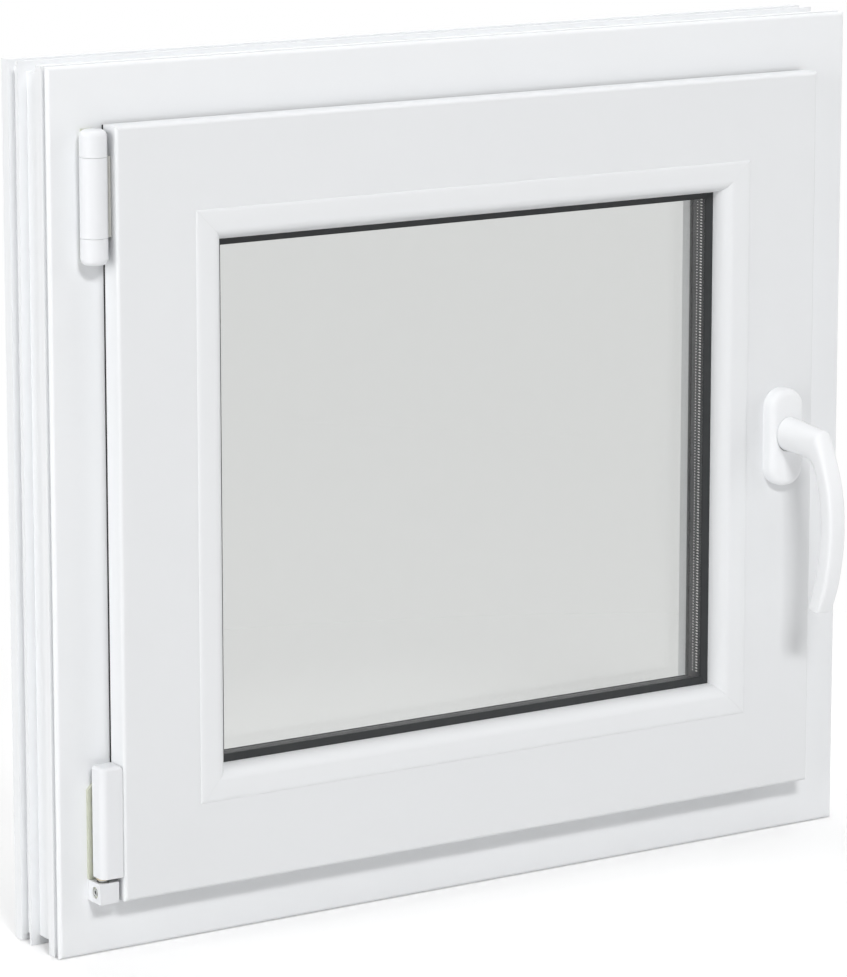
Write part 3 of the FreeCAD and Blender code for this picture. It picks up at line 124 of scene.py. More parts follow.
def blend_colour(tree, value, first, second):
    """A colour between two, by a value from 0 to 1."""
    mix = add(tree, "ShaderNodeMix", {"Factor": value}, data_type="RGBA")
    mix.inputs[6].default_value = (*first, 1)
    mix.inputs[7].default_value = (*second, 1)
    return mix.outputs[2]


def relief(tree, shader, height, strength, distance):
    """Fine relief that tilts the surface normal without changing the mesh."""
    amount = {"Height": height, "Strength": strength, "Distance": distance}
    bump = add(tree, "ShaderNodeBump", amount)
    tree.links.new(bump.outputs["Normal"], shader.inputs["Normal"])


def shade_with(tree, shader, colour, roughness):
    """Wire a pattern's colour and roughness into the shader."""
    tree.links.new(colour, shader.inputs["Base Color"])
    tree.links.new(roughness, shader.inputs["Roughness"])


# %% [markdown]
# ## White PVC-U
#
# The bars are extruded, so their skin carries very faint lines along their length and a soft
# satin sheen. A wave or brick pattern would repeat too evenly. A noise that is squeezed across
# the bar and stretched along it gives lines that come and go as on the real skin. The lines run
# along X on the rails and along Z on the stiles. The sash and the beads are the frame's white
# painted a little darker, as painted shade, so there are six finishes from one function.

# %% PVC-U finishes
PVC = (0.838, 0.850, 0.864)
# Painted shade: the sash and the beads are the frame's white, darkened by these factors.
SASH_PAINTED_SHADE, BEAD_PAINTED_SHADE = 0.925, 0.95   # against the frame's white
LINES_ACROSS, LINES_ALONG = 900.0, 6.0   # noise cells per metre
PVC_CLOUDS = 14.0


def extruded_pvc(name, along, painted_shade=1.0):
    """Satin white with extrusion lines along the axis numbered along (0 = X, 2 = Z)."""
    # Painted shade: a factor below 1 darkens the white for the sash and the beads.
    pale = tuple(c * painted_shade for c in PVC)
    shade = tuple(c * 0.98 for c in pale)
    material, tree, shader = new_material(name)
    stretch = [LINES_ACROSS] * 3
    stretch[along] = LINES_ALONG
    lines = speckle(tree, position(tree, stretch), 1.0)
    clouds = speckle(tree, position(tree), PVC_CLOUDS)
    shade_with(tree, shader, blend_colour(tree, clouds, shade, pale),
               between(tree, lines, 0.36, 0.46))
    shader.inputs["Specular IOR Level"].default_value = 0.42
    relief(tree, shader, lines, 0.12, 0.00004)
    return material


FRAME_RAIL = extruded_pvc("frame_pvc_along_x", 0)
FRAME_STILE = extruded_pvc("frame_pvc_along_z", 2)
SASH_RAIL = extruded_pvc("sash_pvc_along_x", 0, SASH_PAINTED_SHADE)
SASH_STILE = extruded_pvc("sash_pvc_along_z", 2, SASH_PAINTED_SHADE)
BEAD_RAIL = extruded_pvc("bead_pvc_along_x", 0, BEAD_PAINTED_SHADE)
BEAD_STILE = extruded_pvc("bead_pvc_along_z", 2, BEAD_PAINTED_SHADE)
print("PVC-U finishes: 6, white", PVC)


# %% [markdown]
# ## Moulded and coated white parts
#
# Hinge covers are injection moulded and a little shinier than the bars. The handle is die-cast
# metal with a powder coat, whose skin has a very fine orange peel. Real dents in the mesh would
# need millions of faces, so a round noise tilts the surface's normal instead, and the grain is
# coarser on the covers and finer on the coat.

# %% White covers and powder coat
def moulded_white(name, colour, roughness, grain, depth):
    """A smooth white skin with a fine round grain."""
    material, tree, shader = new_material(name)
    bumps = speckle(tree, position(tree), grain, 2.0)
    dimmer = tuple(c * 0.985 for c in colour)
    shade_with(tree, shader, blend_colour(tree, bumps, dimmer, colour),
               between(tree, bumps, roughness - 0.03, roughness + 0.03))
    relief(tree, shader, bumps, 0.1, depth)
    return material


COVER = moulded_white("cover_white", (0.772, 0.782, 0.8), 0.33, 700.0, 0.00003)
POWDER = moulded_white("powder_coat_white", (0.848, 0.858, 0.872), 0.36, 1100.0, 0.00004)
print("white finishes:", COVER.name, POWDER.name)


# %% [markdown]
# ## Gaskets, metals, spacer and sealant
#
# The gaskets are matt black rubber that looks dark grey where light grazes it. Hinge plates and
# screws are zinc plated, the steels inside the bars are galvanised with larger spangles, and the
# bearing plates are passivated, which leaves them dull and faintly yellow-green. A measured
# metal for each would be one choice. One function of cloudy colour and roughness, which drift
# together as plating does, is enough for parts this small, and keeps them a family.

# %% Rubber and metals
def rubber(name, dark, pale, roughness):
    """Matt rubber with cloudy bloom."""
    material, tree, shader = new_material(name)
    bloom = speckle(tree, position(tree), 90.0, 4.0)
    shade_with(tree, shader, blend_colour(tree, bloom, dark, pale),
               between(tree, bloom, roughness - 0.08, roughness + 0.08))
    shader.inputs["Specular IOR Level"].default_value = 0.2
    relief(tree, shader, bloom, 0.15, 0.0001)
    return material


def plated(name, dark, pale, roughness, grain, metallic=1.0):
    """Metal with cloudy plating: colour and roughness drift together."""
    material, tree, shader = new_material(name)
    spangle = speckle(tree, position(tree), grain, 3.0)
    shade_with(tree, shader, blend_colour(tree, spangle, dark, pale),
               between(tree, spangle, roughness + 0.08, roughness - 0.08))
    shader.inputs["Metallic"].default_value = metallic
    relief(tree, shader, spangle, 0.08, 0.00005)
    return material


GASKET = rubber("gasket_black", (0.03, 0.032, 0.033), (0.044, 0.046, 0.048), 0.5)
SEAL_BLACK = rubber("seal_black", (0.008, 0.008, 0.009), (0.014, 0.014, 0.015), 0.6)
SEALANT = rubber("sealant_black", (0.012, 0.012, 0.013), (0.02, 0.02, 0.021), 0.5)
ZINC = plated("zinc_plated", (0.6, 0.61, 0.6), (0.74, 0.75, 0.74), 0.32, 160.0)
GALVANISED = plated("galvanised", (0.48, 0.5, 0.52), (0.66, 0.68, 0.7), 0.42, 60.0)
BEARING = plated("bearing_passivated", (0.55, 0.565, 0.46), (0.66, 0.675, 0.57), 0.4, 220.0, 0.35)
STAY = plated("stay_passivated", (0.5, 0.5, 0.47), (0.6, 0.6, 0.56), 0.42, 180.0, 0.35)
BRASS = plated("turned_brass", (0.5, 0.42, 0.28), (0.64, 0.55, 0.4), 0.3, 300.0)
SPACER = plated("spacer_dark", (0.04, 0.042, 0.045), (0.055, 0.058, 0.062), 0.45, 250.0, 0.2)
BLOCK = moulded_white("setting_block_blue", (0.12, 0.2, 0.42), 0.5, 300.0, 0.00003)
print("rubbers: 3, metals: 6, plastic:", BLOCK.name)


# %% [markdown]
# ## Float glass
#
# Clear panes pass nearly everything, and two of them together dim what is behind by about a
# sixth. A light grey in the transmitted colour stands for that. The panes could be left out of
# the light's way by hiding them, but then they would cast no tint at all. Here the same shader
# looks up whether the ray is on its way to a lamp: such a ray goes straight through, a little
# dimmed, so the cavity between the panes is lit as it is behind real glass.

# %% Glass
def float_glass(name, colour, lamp_tint=0.96):
    """Clear glass with a slight body colour; lamps shine straight through it, a little dimmed."""
    material, tree, shader = new_material(name)
    shader.inputs["Base Color"].default_value = (*colour, 1)
    shader.inputs["Transmission Weight"].default_value = 1.0
    shader.inputs["Roughness"].default_value = 0.0
    shader.inputs["IOR"].default_value = 1.45
    waves = speckle(tree, position(tree), 3.0, 1.0)
    relief(tree, shader, waves, 0.02, 0.0002)
    lamps = add(tree, "ShaderNodeLightPath").outputs["Is Shadow Ray"]
    clear = add(tree, "ShaderNodeBsdfTransparent", {"Color": (lamp_tint, lamp_tint, lamp_tint, 1)})
    both = add(tree, "ShaderNodeMixShader", {"Fac": lamps})
    tree.links.new(shader.outputs[0], both.inputs[1])
    tree.links.new(clear.outputs[0], both.inputs[2])
    out = next(n for n in tree.nodes if n.type == "OUTPUT_MATERIAL")
    tree.links.new(both.outputs[0], out.inputs["Surface"])
    return material


GLASS = float_glass("float_glass", (0.808, 0.814, 0.809))
print("glass:", GLASS.name)


# %% [markdown]
# ## Which solid has which finish
#
# Bars lie in two directions, so rails and stiles take their own extrusion lines. Everything
# screwed or riveted to them is plated metal, everything a hand or an eye meets is white, and
# what seals is black. One call for each finish, naming its solids, is easier to check than a
# rule on names, and the last lines print how many solids were dressed and any that are bare.

# %% Give each solid its finish
def finish_with(material, *names):
    """Put one material on CAD nodes."""
    for name in names:
        slots = NODES[name].data.materials
        slots.clear()
        slots.append(material)


for bar, rail, stile in (("frame_bar_", FRAME_RAIL, FRAME_STILE),
                         ("sash_bar_", SASH_RAIL, SASH_STILE), ("bead_", BEAD_RAIL, BEAD_STILE)):
    finish_with(rail, bar + "top", bar + "bottom")
    finish_with(stile, bar + "left", bar + "right")
finish_with(FRAME_RAIL, "drain_caps")
finish_with(SEAL_BLACK, "frame_gasket", "sash_gasket")
finish_with(GASKET, "inner_glazing_gasket", "outer_glazing_gasket")
finish_with(SEALANT, "edge_seal")
finish_with(GLASS, "inner_pane", "outer_pane")
finish_with(SPACER, "spacer_bar")
finish_with(BLOCK, "setting_blocks")
finish_with(GALVANISED, "frame_steels", "sash_steels")
finish_with(COVER, "stay_cap_lower", "stay_cap_upper", "stay_arm_cover", "corner_bearing_cover",
            "sash_hinge_cover", "handle_base")
finish_with(POWDER, "handle_lever", "handle_rosette")
finish_with(BEARING, "corner_bearing", "stay_bearing", "gearbox_pinion")
finish_with(STAY, "stay_arm")
finish_with(BRASS, "pivot_collar")
finish_with(ZINC, "strikers", "striker_screws", "stay_bearing_screws", "stay_pin",
            "stay_guide_pin", "corner_bearing_screws", "tilt_pin", "pivot_post", "sash_hinge",
            "sash_hinge_screws", "handle_screws", "spindle", "gearbox_case", "lock_rod",
            "lock_cams", "top_rod", "bottom_rod", "faceplate_lock_side", "faceplate_top",
            "faceplate_bottom", "faceplate_screws", "corner_drives")
bare = [name for name, node in NODES.items() if not node.data.materials[0].use_nodes]
print("nodes dressed:", len(NODES), "left bare:", bare)


# %% [markdown]
# ## Surfaces from arrays
#
# The pieces below could be modelled by hand with loops and bevels. Each of them follows a rule,
# though, so a fine piece is a grid of points worked out with numpy: rows run along the piece and
# columns run across it. Two helpers turn any such grid into a mesh and hang it on the empty of
# the moving body it belongs to. Every piece is a closed skin, so the helper can turn all its faces
# outwards, whichever way round the grid was laid, and print its volume as proof.

# %% Grid helpers
def grid_faces(rows, columns, wrap=False, first=0):
    """Four-sided faces between neighbouring points; wrap joins the last column to the first."""
    index = first + np.arange(rows * columns).reshape(rows, columns)
    if wrap:
        index = np.concatenate([index, index[:, :1]], axis=1)
    corners = [index[:-1, :-1], index[1:, :-1], index[1:, 1:], index[:-1, 1:]]
    return np.stack(corners, axis=-1).reshape(-1, 4)


def make_piece(name, points, faces, material, body, sharp=30.0):
    """A smooth-shaded object from points in metres; edges above the sharp angle stay crisp."""
    mesh = bpy.data.meshes.new(name)
    mesh.from_pydata(np.asarray(points).tolist(), [], [f.tolist() for part in faces for f in part])
    shell = bmesh.new()
    shell.from_mesh(mesh)
    bmesh.ops.recalc_face_normals(shell, faces=shell.faces)
    open_edges = sum(not edge.is_manifold for edge in shell.edges)
    volume = shell.calc_volume(signed=True) / MM**3
    shell.to_mesh(mesh)
    shell.free()
    mesh.polygons.foreach_set("use_smooth", np.ones(len(mesh.polygons), bool))
    mesh.set_sharp_from_angle(angle=math.radians(sharp))
    mesh.materials.append(material)
    piece = bpy.data.objects.new(name, mesh)
    bpy.context.scene.collection.objects.link(piece)
    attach(piece, body)
    print(f"{name}: {len(mesh.polygons)} faces, {volume:.0f} mm3, {open_edges} open edges")
    return piece


# %% [markdown]
# ## The handle's lever
#
# The cast lever leaves the rosette as a round neck, turns down at a knuckle with a crisp top
# edge, and becomes a bar with four soft edges. A bent cylinder can't change from round to
# square, and a subdivided cage loses the knuckle. Stacked sections describe it best: every
# section is a superellipse, round at the neck and nearly square in the grip. The rows of the
# table are read along the lever, and a smooth curve through them gives all the sections between.

# %% Sections of the lever
LEVER_ROWS = np.array([   # front out, front up, back out, back up, width, squareness front, back
    (11.6, 15.3, 11.6, -9.4, 21.2, 2.0, 2.0), (24.0, 14.4, 22.6, -9.6, 20.2, 2.0, 2.0),
    (38.0, 13.0, 34.6, -10.4, 17.8, 2.0, 2.2), (52.3, 11.2, 43.4, -13.0, 15.6, 2.5, 2.6),
    (58.8, -3.6, 49.6, -20.2, 14.7, 3.6, 3.2), (64.6, -18.6, 53.9, -30.8, 14.4, 4.8, 3.8),
    (68.9, -34.4, 56.3, -42.6, 14.3, 5.0, 4.2), (70.7, -50.4, 57.2, -55.6, 14.2, 5.0, 4.4),
    (70.6, -66.4, 56.8, -69.0, 14.2, 5.0, 4.4), (68.8, -82.4, 55.0, -82.8, 14.2, 5.0, 4.4),
    (65.4, -98.0, 51.7, -96.9, 14.2, 5.0, 4.4), (61.3, -110.0, 48.0, -108.3, 14.2, 5.0, 4.4),
    (57.3, -119.0, 44.6, -117.3, 14.2, 5.0, 4.4)])
STEM_ROWS = np.array([    # the collar inside the rosette, the same columns
    (4.0, 9.05, 4.0, -9.05, 18.1, 2, 2), (11.3, 9.05, 11.3, -9.05, 18.1, 2, 2),
    (11.3, 14.7, 11.3, -8.8, 20.0, 2, 2)])
KNUCKLE = 3               # the row at which the front edge turns down


def smooth_curve(keys, at):
    """Catmull-Rom: the slope at each key is half the step from the key before to the key after."""
    ends = np.concatenate([2 * keys[:1] - keys[1:2], keys, 2 * keys[-1:] - keys[-2:-1]])
    slope = (ends[2:] - ends[:-2]) / 2
    k = np.clip(at.astype(int), 0, len(keys) - 2)
    t = (at - k)[:, None]
    return ((2 * t**3 - 3 * t**2 + 1) * keys[k] + (t**3 - 2 * t**2 + t) * slope[k]
            + (3 * t**2 - 2 * t**3) * keys[k + 1] + (t**3 - t**2) * slope[k + 1])


def superellipse(rows, around):
    """Across = cos^(2/n), out = sin^(2/n) with their signs, n being the squareness of that half."""
    front, back, width = rows[:, :2], rows[:, 2:4], rows[:, 4:5]
    n = np.where(np.sin(around) > 0, rows[:, 5:6], rows[:, 6:7])
    across = np.sign(np.cos(around)) * np.abs(np.cos(around)) ** (2 / n) * width / 2
    rise = np.sign(np.sin(around)) * np.abs(np.sin(around)) ** (2 / n) / 2
    line = (front + back)[:, None] / 2 + (front - back)[:, None] * rise[..., None]
    return np.stack([across, -line[..., 0], line[..., 1]], axis=-1)


print("lever table:", len(LEVER_ROWS), "sections,", len(STEM_ROWS), "more in the rosette")


# %% [markdown]
# ## The lever's knuckle and end
#
# On the real lever the top edge breaks at the knuckle, and the free end is rounded off. One
# curve through all rows would bulge there, so the front edge is two curves that meet at the
# knuckle, and a light running average takes the sharpness off as casting and coating do. The end
# is the last section again, shrinking along a quarter circle as it moves on, and a lid.

# %% The lever's surface
END_STEPS, END_SHRINK, END_REACH = 6, 0.16, 1.1
LID_SHRINK, LID_REACH = 0.5, 0.55
LEVER_CREASE = 42.0       # degrees; a sharper edge than this stays crisp


def lever_grid(steps=12, columns=72):
    """Sections along the lever, then a rounded end: the last section shrinks as it moves on."""
    at = np.linspace(0, len(LEVER_ROWS) - 1, (len(LEVER_ROWS) - 1) * steps + 1)
    rows = smooth_curve(LEVER_ROWS, at)
    neck = at <= KNUCKLE
    rows[neck, :2] = smooth_curve(LEVER_ROWS[:KNUCKLE + 1, :2], at[neck])
    rows[~neck, :2] = smooth_curve(LEVER_ROWS[KNUCKLE:, :2], at[~neck] - KNUCKLE)
    rows[1:-1, :2] = (rows[:-2, :2] + 2 * rows[1:-1, :2] + rows[2:, :2]) / 4
    around = np.linspace(0, 2 * np.pi, columns, endpoint=False) + np.pi / columns
    body = superellipse(rows, around)
    middle = body[-1].mean(axis=0)
    onward = middle - body[-2].mean(axis=0)
    onward = onward / np.linalg.norm(onward)
    turn = np.linspace(0, np.pi / 2, END_STEPS)[1:, None, None]
    shrunk = (body[-1] - middle) * (1 - END_SHRINK * (1 - np.cos(turn)))
    foot = middle + shrunk + onward * END_REACH * np.sin(turn)
    lid = middle + (foot[-1:] - middle) * LID_SHRINK + onward * LID_REACH
    return np.concatenate([superellipse(STEM_ROWS, around), body, foot, lid])


def make_lever():
    """The grid closed by one many-sided face at each end, put at the handle's axis."""
    grid = lever_grid()
    low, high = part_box("spindle")
    axis = np.array([(low[0] + high[0]) / 2, CAD_SASH_FRONT, (low[2] + high[2]) / 2])
    rows, columns = grid.shape[:2]
    ends = np.arange(columns) + np.array([[0], [(rows - 1) * columns]])
    points = grid.reshape(-1, 3) * MM + axis
    return make_piece("lever_casting", points, [grid_faces(rows, columns, wrap=True), ends],
                      POWDER, "handle", LEVER_CREASE)


CAD_SASH_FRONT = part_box("sash_bar_left")[0][1]
lever = make_lever()
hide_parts("handle_lever")


# %% [markdown]
# ## Glazing beads
#
# The bead is a thin extrusion clipped in to hold the glass: a small round against the sash, a
# nearly flat crown, and a long curve that rolls over towards the glass. A bevelled box has only
# circular rounds, so the section is written out as two quarter ellipses with the crown between.

# %% Bead section
WIDTH_HALF, HEIGHT = float(CAD_HIGH[0]) / MM, float(CAD_HIGH[2]) / MM
BEAD_IN = (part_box("bead_left")[1][0] - CAD_LOW[0]) / MM
BEAD_WIDE, BEAD_DEEP = 21.9, 13.55
BEAD_OUT = BEAD_IN - BEAD_WIDE
LIP_START, LIP_WIDE, LIP_DEPTH = -0.38, 3.0, 0.03   # the outer round laps the sash's corner
CROWN, CROWN_FALL = -0.85, 0.25                     # proud of the sash face, and its slope
ROLL_START, ROLL_WIDE, ROLL_DEEP, ROLL_TURN = 12.7, 9.42, 14.2, 0.86
CLIP_IN, CLIP_DEEP, SEAT = 3.0, 9.0, 0.05           # the stepped back, just off the sash


def bead_section(points=28):
    """(inset, depth from the sash face): a quarter ellipse up, the crown, a part ellipse down."""
    turn = np.linspace(0, np.pi / 2, points)[:, None]
    rise = np.hstack([LIP_START + LIP_WIDE * (1 - np.cos(turn)),
                      LIP_DEPTH + (CROWN - LIP_DEPTH) * np.sin(turn)])
    along = np.linspace(0, 1, 8)[1:-1, None]
    lip_end = LIP_START + LIP_WIDE
    crown = np.hstack([lip_end + (ROLL_START - lip_end) * along, CROWN + CROWN_FALL * along**2])
    fall = turn * ROLL_TURN
    roll = np.hstack([ROLL_START + ROLL_WIDE * np.sin(fall),
                      CROWN + CROWN_FALL + ROLL_DEEP * (1 - np.cos(fall))])
    back = np.array([(BEAD_WIDE, 12.4), (BEAD_WIDE, BEAD_DEEP), (CLIP_IN, BEAD_DEEP),
                     (CLIP_IN, CLIP_DEEP), (SEAT, CLIP_DEEP), (SEAT, 0.35)])
    return np.vstack([rise, crown, roll, back]) + (BEAD_OUT, 0)


print("bead section:", len(bead_section()), "points")


# %% [markdown]
# ## Beads in a mitred ring
#
# The four beads are sawn at 45 degrees and snapped in one by one. Sweeping the section along a
# closed path would weld them into one ring, so each side is its own piece, with the section
# placed at both of its mitres. Each end stops a hair short of the mitre, which leaves the fine
# diagonal line that a sawn joint shows.

# %% Beads round the glass
MITRE_GAP = 0.05
CORNERS = {"bottom": ((-1, 0), (1, 0)), "right": ((1, 0), (1, 1)), "top": ((1, 1), (-1, 1)),
           "left": ((-1, 1), (-1, 0))}


def ring_side(inset, depth, side, gap=0.0):
    """The two mitred ends of one side, for every point of a section: (2, points, 3) in metres."""
    ends = []
    vertical = side in ("left", "right")
    for across, up in CORNERS[side]:
        x = across * (WIDTH_HALF - inset - (0 if vertical else gap))
        lift = inset + (gap if vertical else 0)
        z = HEIGHT - lift if up else lift
        ends.append(np.stack([x + 0 * depth, depth, z + 0 * depth], axis=-1))
    return np.stack(ends) * MM


def make_bead(side, material):
    """The section at both mitres, joined by long faces and closed by its own outline."""
    section = bead_section()
    grid = ring_side(section[:, 0], section[:, 1] + CAD_SASH_FRONT / MM, side, MITRE_GAP)
    columns = grid.shape[1]
    ends = np.arange(2 * columns).reshape(2, columns)
    piece = make_piece("bead_skin_" + side, grid.reshape(-1, 3),
                       [grid_faces(2, columns, wrap=True), ends], material, "sash")
    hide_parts("bead_" + side)


for side, material in (("top", BEAD_RAIL), ("bottom", BEAD_RAIL),
                       ("left", BEAD_STILE), ("right", BEAD_STILE)):
    make_bead(side, material)


# %% [markdown]
# ## Perforations of the spacer bar
#
# The spacer between the panes is filled with drying beads, and two rows of fine slots let the
# air reach them. The pale beads show in the slots of the two upright lengths, which are the ones
# that are filled. A striped finish on the bar would give the rows, but it would have no depth
# from the side. Each slot is a shallow pale dome of eight small faces on a flat back. There are
# some hundreds of them, placed by adding one dome's points to an array of centres.

# %% Desiccant dots
DESICCANT = moulded_white("desiccant_pale", (0.93, 0.93, 0.91), 0.7, 900.0, 0.00005)
DOT_ROWS = ((6.4, 0.52, 2.7), (11.0, 0.36, 2.2))  # depth behind the pane, half height, stretch
SPACER_WALL = 6.5         # from the spacer's outer edge to its inner face
DOT_LIFT, DOT_RISE = 0.03, 0.06   # the dome's back off the bar, and its height
BARE_ENDS = 8.0           # of each upright, both ends together, without slots


def dome_faces(count, rim):
    """Per dome: a triangle from the middle point to each rim edge, and the rim as the back."""
    first = np.arange(count)[:, None] * (rim + 1)
    step = np.arange(rim)
    fan = np.stack([first + 0 * step, first + 1 + step, first + 1 + (step + 1) % rim], axis=-1)
    return [fan.reshape(-1, 3), first + 1 + step]


def spacer_dots(pitch=2.13, rim=8):
    """Centres every pitch up both inner faces; rim = centre + radius, stretched across the bar."""
    inset = (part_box("spacer_bar")[0][0] - CAD_LOW[0]) / MM + SPACER_WALL + DOT_LIFT
    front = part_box("inner_pane")[1][1] / MM
    count = int((HEIGHT - 2 * inset - BARE_ENDS) / pitch)
    along = HEIGHT / 2 + (np.arange(count) - (count - 1) / 2) * pitch
    turn = (np.arange(rim) + 0.5) / rim * 2 * np.pi
    rise = np.append(DOT_RISE, np.zeros(rim))
    clouds = []
    for sign in (-1, 1):
        for depth, radius, stretch in DOT_ROWS:
            wide = np.append(0, np.cos(turn)) * radius * stretch
            tall = np.append(0, np.sin(turn)) * radius
            dome = np.stack([-sign * rise, wide, tall], axis=-1)
            across = np.full(count, sign * (WIDTH_HALF - inset))
            middle = np.stack([across, np.full(count, front + depth), along], axis=-1)
            clouds.append(middle[:, None] + dome[None])
    points = np.concatenate(clouds).reshape(-1, 3)
    return points * MM, dome_faces(len(points) // (rim + 1), rim)


points, faces = spacer_dots()
make_piece("spacer_dots", points, faces, DESICCANT, "sash")


# %% [markdown]
# ## Weld lines
#
# The corners of PVC-U bars are melted together, and a dressed weld stays visible as a fine
# raised line along each mitre. It is far too low for a bar's own mesh and too long for a
# pattern, which would have to be aimed at every corner. So the line is a low cosine wave carried
# from one end of the mitre to the other, on the faces that show.

# %% Weld lines of frame and sash
SUNK, ROOT = 0.01, -0.06  # how far the wave's edge and its root lie inside the bar


def weld_lines(name, runs, body, material, wide=0.55, high=0.04, columns=7):
    """runs: (inset from, inset to, depth, outward -1 or 1). Height = high * (1 + cos) / 2 across.

    Two more points under the wave, inside the bar, make each line a closed skin.
    """
    wave = np.linspace(-1, 1, columns)
    offset = np.append(wave, (1, -1)) * wide / 2 / math.sqrt(2)
    height = np.append(high * (1 + np.cos(np.pi * wave)) / 2 - SUNK, (ROOT, ROOT))
    around = len(offset)
    clouds, faces = [], []
    for start, end, depth, outward in runs:
        inset = np.array([start, end])[:, None]
        for x_sign in (-1, 1):
            for top in (0, 1):
                z = inset - offset
                line = np.stack(np.broadcast_arrays(
                    x_sign * (WIDTH_HALF - inset - offset), depth + outward * height,
                    HEIGHT - z if top else z), axis=-1)
                first = len(clouds) * 2 * around
                faces.append(grid_faces(2, around, wrap=True, first=first))
                faces.append(first + np.arange(2 * around).reshape(2, around))
                clouds.append(line)
    points = np.concatenate(clouds).reshape(-1, 3) * MM
    return make_piece(name, points, faces, material, body)


FRAME_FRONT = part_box("frame_bar_left")[0][1] / MM
FRAME_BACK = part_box("frame_bar_left")[1][1] / MM
weld_lines("weld_lines_frame", [(2.6, 39.0, FRAME_FRONT, -1), (2.0, 64.0, FRAME_BACK, 1)],
           "frame", FRAME_RAIL)
weld_lines("weld_lines_sash", [(41.6, BEAD_OUT - 0.6, CAD_SASH_FRONT / MM, -1)],
           "sash", SASH_RAIL)


# %% [markdown]
# ## Floor
#
# The window stands on a pale floor. The floor is a matt sheet that catches the window's shadow
# and throws soft light back up. A sheet that is lit well enough to look white would flood the
# window, and a small one would show its edge. So it glows a little by itself, and fades into
# plain white further out, where only direct looks, gloss and glass see the white.

# %% Floor
FLOOR_PALE, FLOOR_GLOW = 0.82, 0.24
FADE_MIDDLE, FADE_FROM, FADE_TO = (-0.1, -0.55, 0.0), 0.75, 1.35
FLOOR_CLEARANCE = 0.0004   # keeps the floor and the sill from flickering in one plane


def seen_directly(tree):
    """1 for rays from the camera, off gloss or through glass, otherwise 0."""
    path = add(tree, "ShaderNodeLightPath")
    either = add(tree, "ShaderNodeMath", operation="MAXIMUM")
    tree.links.new(path.outputs["Is Camera Ray"], either.inputs[0])
    tree.links.new(path.outputs["Is Glossy Ray"], either.inputs[1])
    both = add(tree, "ShaderNodeMath", operation="MAXIMUM")
    tree.links.new(either.outputs[0], both.inputs[0])
    tree.links.new(path.outputs["Is Transmission Ray"], both.inputs[1])
    return both.outputs[0]


def make_floor(half=9.0):
    """A flat square under the window: four corners and one face."""
    corners = np.array([(-half, -half, 0), (half, -half, 0), (half, half, 0), (-half, half, 0)])
    mesh = bpy.data.meshes.new("floor")
    mesh.from_pydata(corners.tolist(), [], [(0, 1, 2, 3)])
    floor = bpy.data.objects.new("floor", mesh)
    bpy.context.scene.collection.objects.link(floor)
    material, tree, shader = new_material("floor_pale")
    shader.inputs["Base Color"].default_value = (FLOOR_PALE, FLOOR_PALE, FLOOR_PALE, 1)
    shader.inputs["Roughness"].default_value = 1.0
    shader.inputs["Specular IOR Level"].default_value = 0.0
    glow = add(tree, "ShaderNodeEmission", {"Color": (1, 1, 1, 1)})
    direct = seen_directly(tree)
    tree.links.new(between(tree, direct, 0.0, FLOOR_GLOW), glow.inputs["Strength"])
    sheet = add(tree, "ShaderNodeAddShader")
    tree.links.new(shader.outputs[0], sheet.inputs[0])
    tree.links.new(glow.outputs[0], sheet.inputs[1])
    white = add(tree, "ShaderNodeEmission", {"Color": (1, 1, 1, 1), "Strength": 1.0})
    where = add(tree, "ShaderNodeTexCoord").outputs["Object"]
    away = add(tree, "ShaderNodeVectorMath", {0: where, 1: FADE_MIDDLE}, operation="DISTANCE")
    fade = add(tree, "ShaderNodeMapRange", {"Value": away.outputs["Value"],
                                            "From Min": FADE_FROM, "From Max": FADE_TO})
    far = add(tree, "ShaderNodeMath", {0: fade.outputs[0], 1: direct}, operation="MULTIPLY")
    total = add(tree, "ShaderNodeMixShader", {"Fac": far.outputs[0]})
    tree.links.new(sheet.outputs[0], total.inputs[1])
    tree.links.new(white.outputs[0], total.inputs[2])
    out = next(n for n in tree.nodes if n.type == "OUTPUT_MATERIAL")
    tree.links.new(total.outputs[0], out.inputs["Surface"])
    mesh.materials.append(material)
    floor.location.z = CAD_LOW[2] - FLOOR_CLEARANCE
    print("floor:", 2 * half, "m square")
    return floor


make_floor()


# %% [markdown]
# ## World
#
# A white room round the window is seen by the camera, in gloss and through the glass. As a lamp
# it would light every side alike and wash the profile steps out, so for all other rays it is
# almost black, and the lamps below do the lighting.

# %% World
AMBIENT = 0.02
world = bpy.data.worlds.new("studio")
bpy.context.scene.world = world
world.use_nodes = True
sky = world.node_tree
backdrop = next(n for n in sky.nodes if n.type == "BACKGROUND")
backdrop.inputs["Color"].default_value = (1, 1, 1, 1)
sky.links.new(between(sky, seen_directly(sky), AMBIENT, 1.0), backdrop.inputs["Strength"])
print("world: strength 1.0 looked at, %.2f as a lamp" % AMBIENT)


# %% [markdown]
# ## Lamps
#
# Five softboxes light the window: a key from the front left and above, which throws the
# handle's shadow, a fill on each side, one above and one behind. Near lamps fall off across the
# window and sun lamps have hard shadows, so these are large, far and strong. A table of
# positions relative to the window's middle is all they need, because each turns to face it.

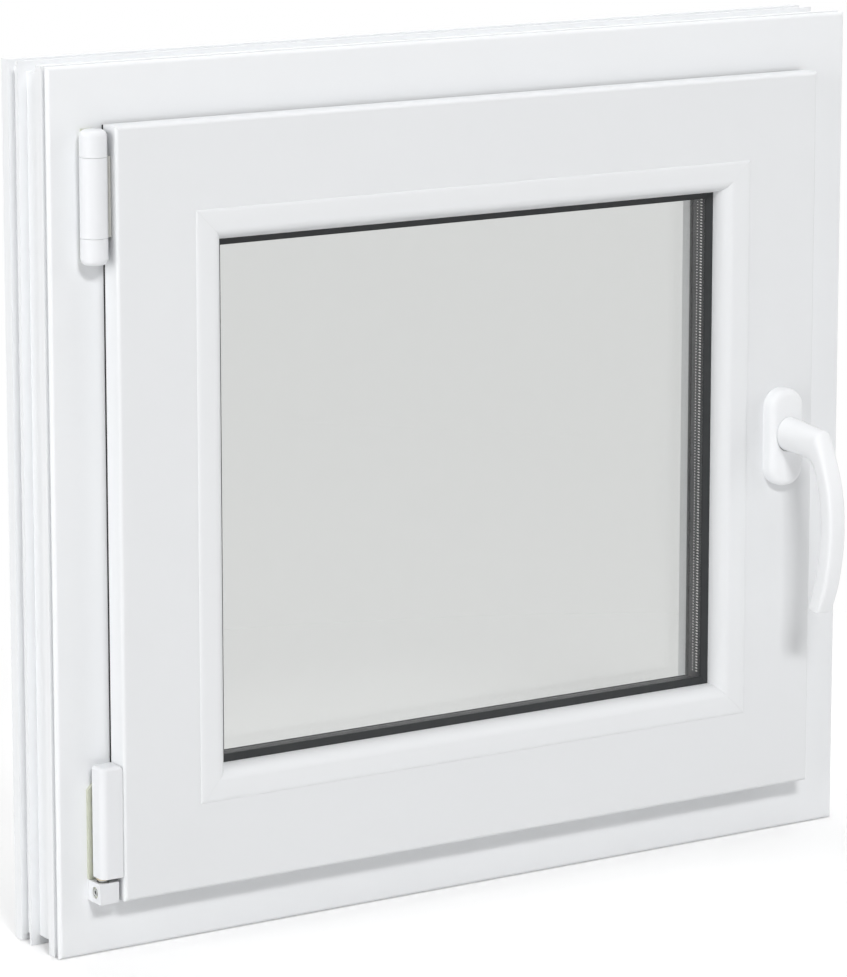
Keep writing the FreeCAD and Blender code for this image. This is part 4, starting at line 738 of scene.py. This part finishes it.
# %% Lamps
def softbox(name, place, width, height, power):
    """A rectangular area lamp at a place beside the window's middle, turned to face it."""
    lamp = bpy.data.lights.new(name, "AREA")
    lamp.shape = "RECTANGLE"
    lamp.size = width
    lamp.size_y = height
    lamp.energy = power
    holder = bpy.data.objects.new(name, lamp)
    holder.location = CENTRE + Vector(place)
    holder.rotation_euler = Vector([-v for v in place]).to_track_quat("-Z", "Y").to_euler()
    holder.visible_glossy = False
    holder.visible_transmission = False
    bpy.context.scene.collection.objects.link(holder)
    print("lamp %s: %.1f m away, %g W" % (name, Vector(place).length, power))
    return holder


CENTRE = (Vector(CAD_LOW) + Vector(CAD_HIGH)) / 2
softbox("key_front", (-1.54, -5.2, 4.1), 1.7, 0.8, 224)
softbox("fill_left", (-6.0, -1.0, 1.1), 4.0, 4.0, 250)
softbox("fill_above", (0.2, 0.4, 3.0), 2.4, 2.4, 52)
softbox("fill_right", (6.0, -2.8, 1.4), 5.2, 5.2, 180)
softbox("fill_behind", (0.3, 3.2, 1.2), 2.6, 2.6, 48)


# %% [markdown]
# ## Camera
#
# A window in a catalogue is seen with its uprights nearly parallel. A short lens close by
# would spread them, so a long lens stands well back, to the left and a little above, and a small
# shift of the lens frames the window without tipping the camera further.

# %% Camera
AZIMUTH = math.radians(32.806)
ELEVATION = math.radians(10.757)
DISTANCE = 3.2614
AIM = Vector((-0.0072, 0.0325, 0.3351))
camera = bpy.data.cameras.new("camera")
camera.lens = 171.68
camera.shift_y = -0.08
holder = bpy.data.objects.new("camera", camera)
forward = Vector((math.sin(AZIMUTH) * math.cos(ELEVATION), math.cos(AZIMUTH) * math.cos(ELEVATION),
                  -math.sin(ELEVATION)))
holder.location = AIM - forward * DISTANCE
holder.rotation_euler = (math.pi / 2 - ELEVATION, 0, -AZIMUTH)
bpy.context.scene.collection.objects.link(holder)
bpy.context.scene.camera = holder
bpy.context.scene.view_settings.view_transform = "Standard"
print("camera: %.1f mm lens, %.2f m away" % (camera.lens, DISTANCE))
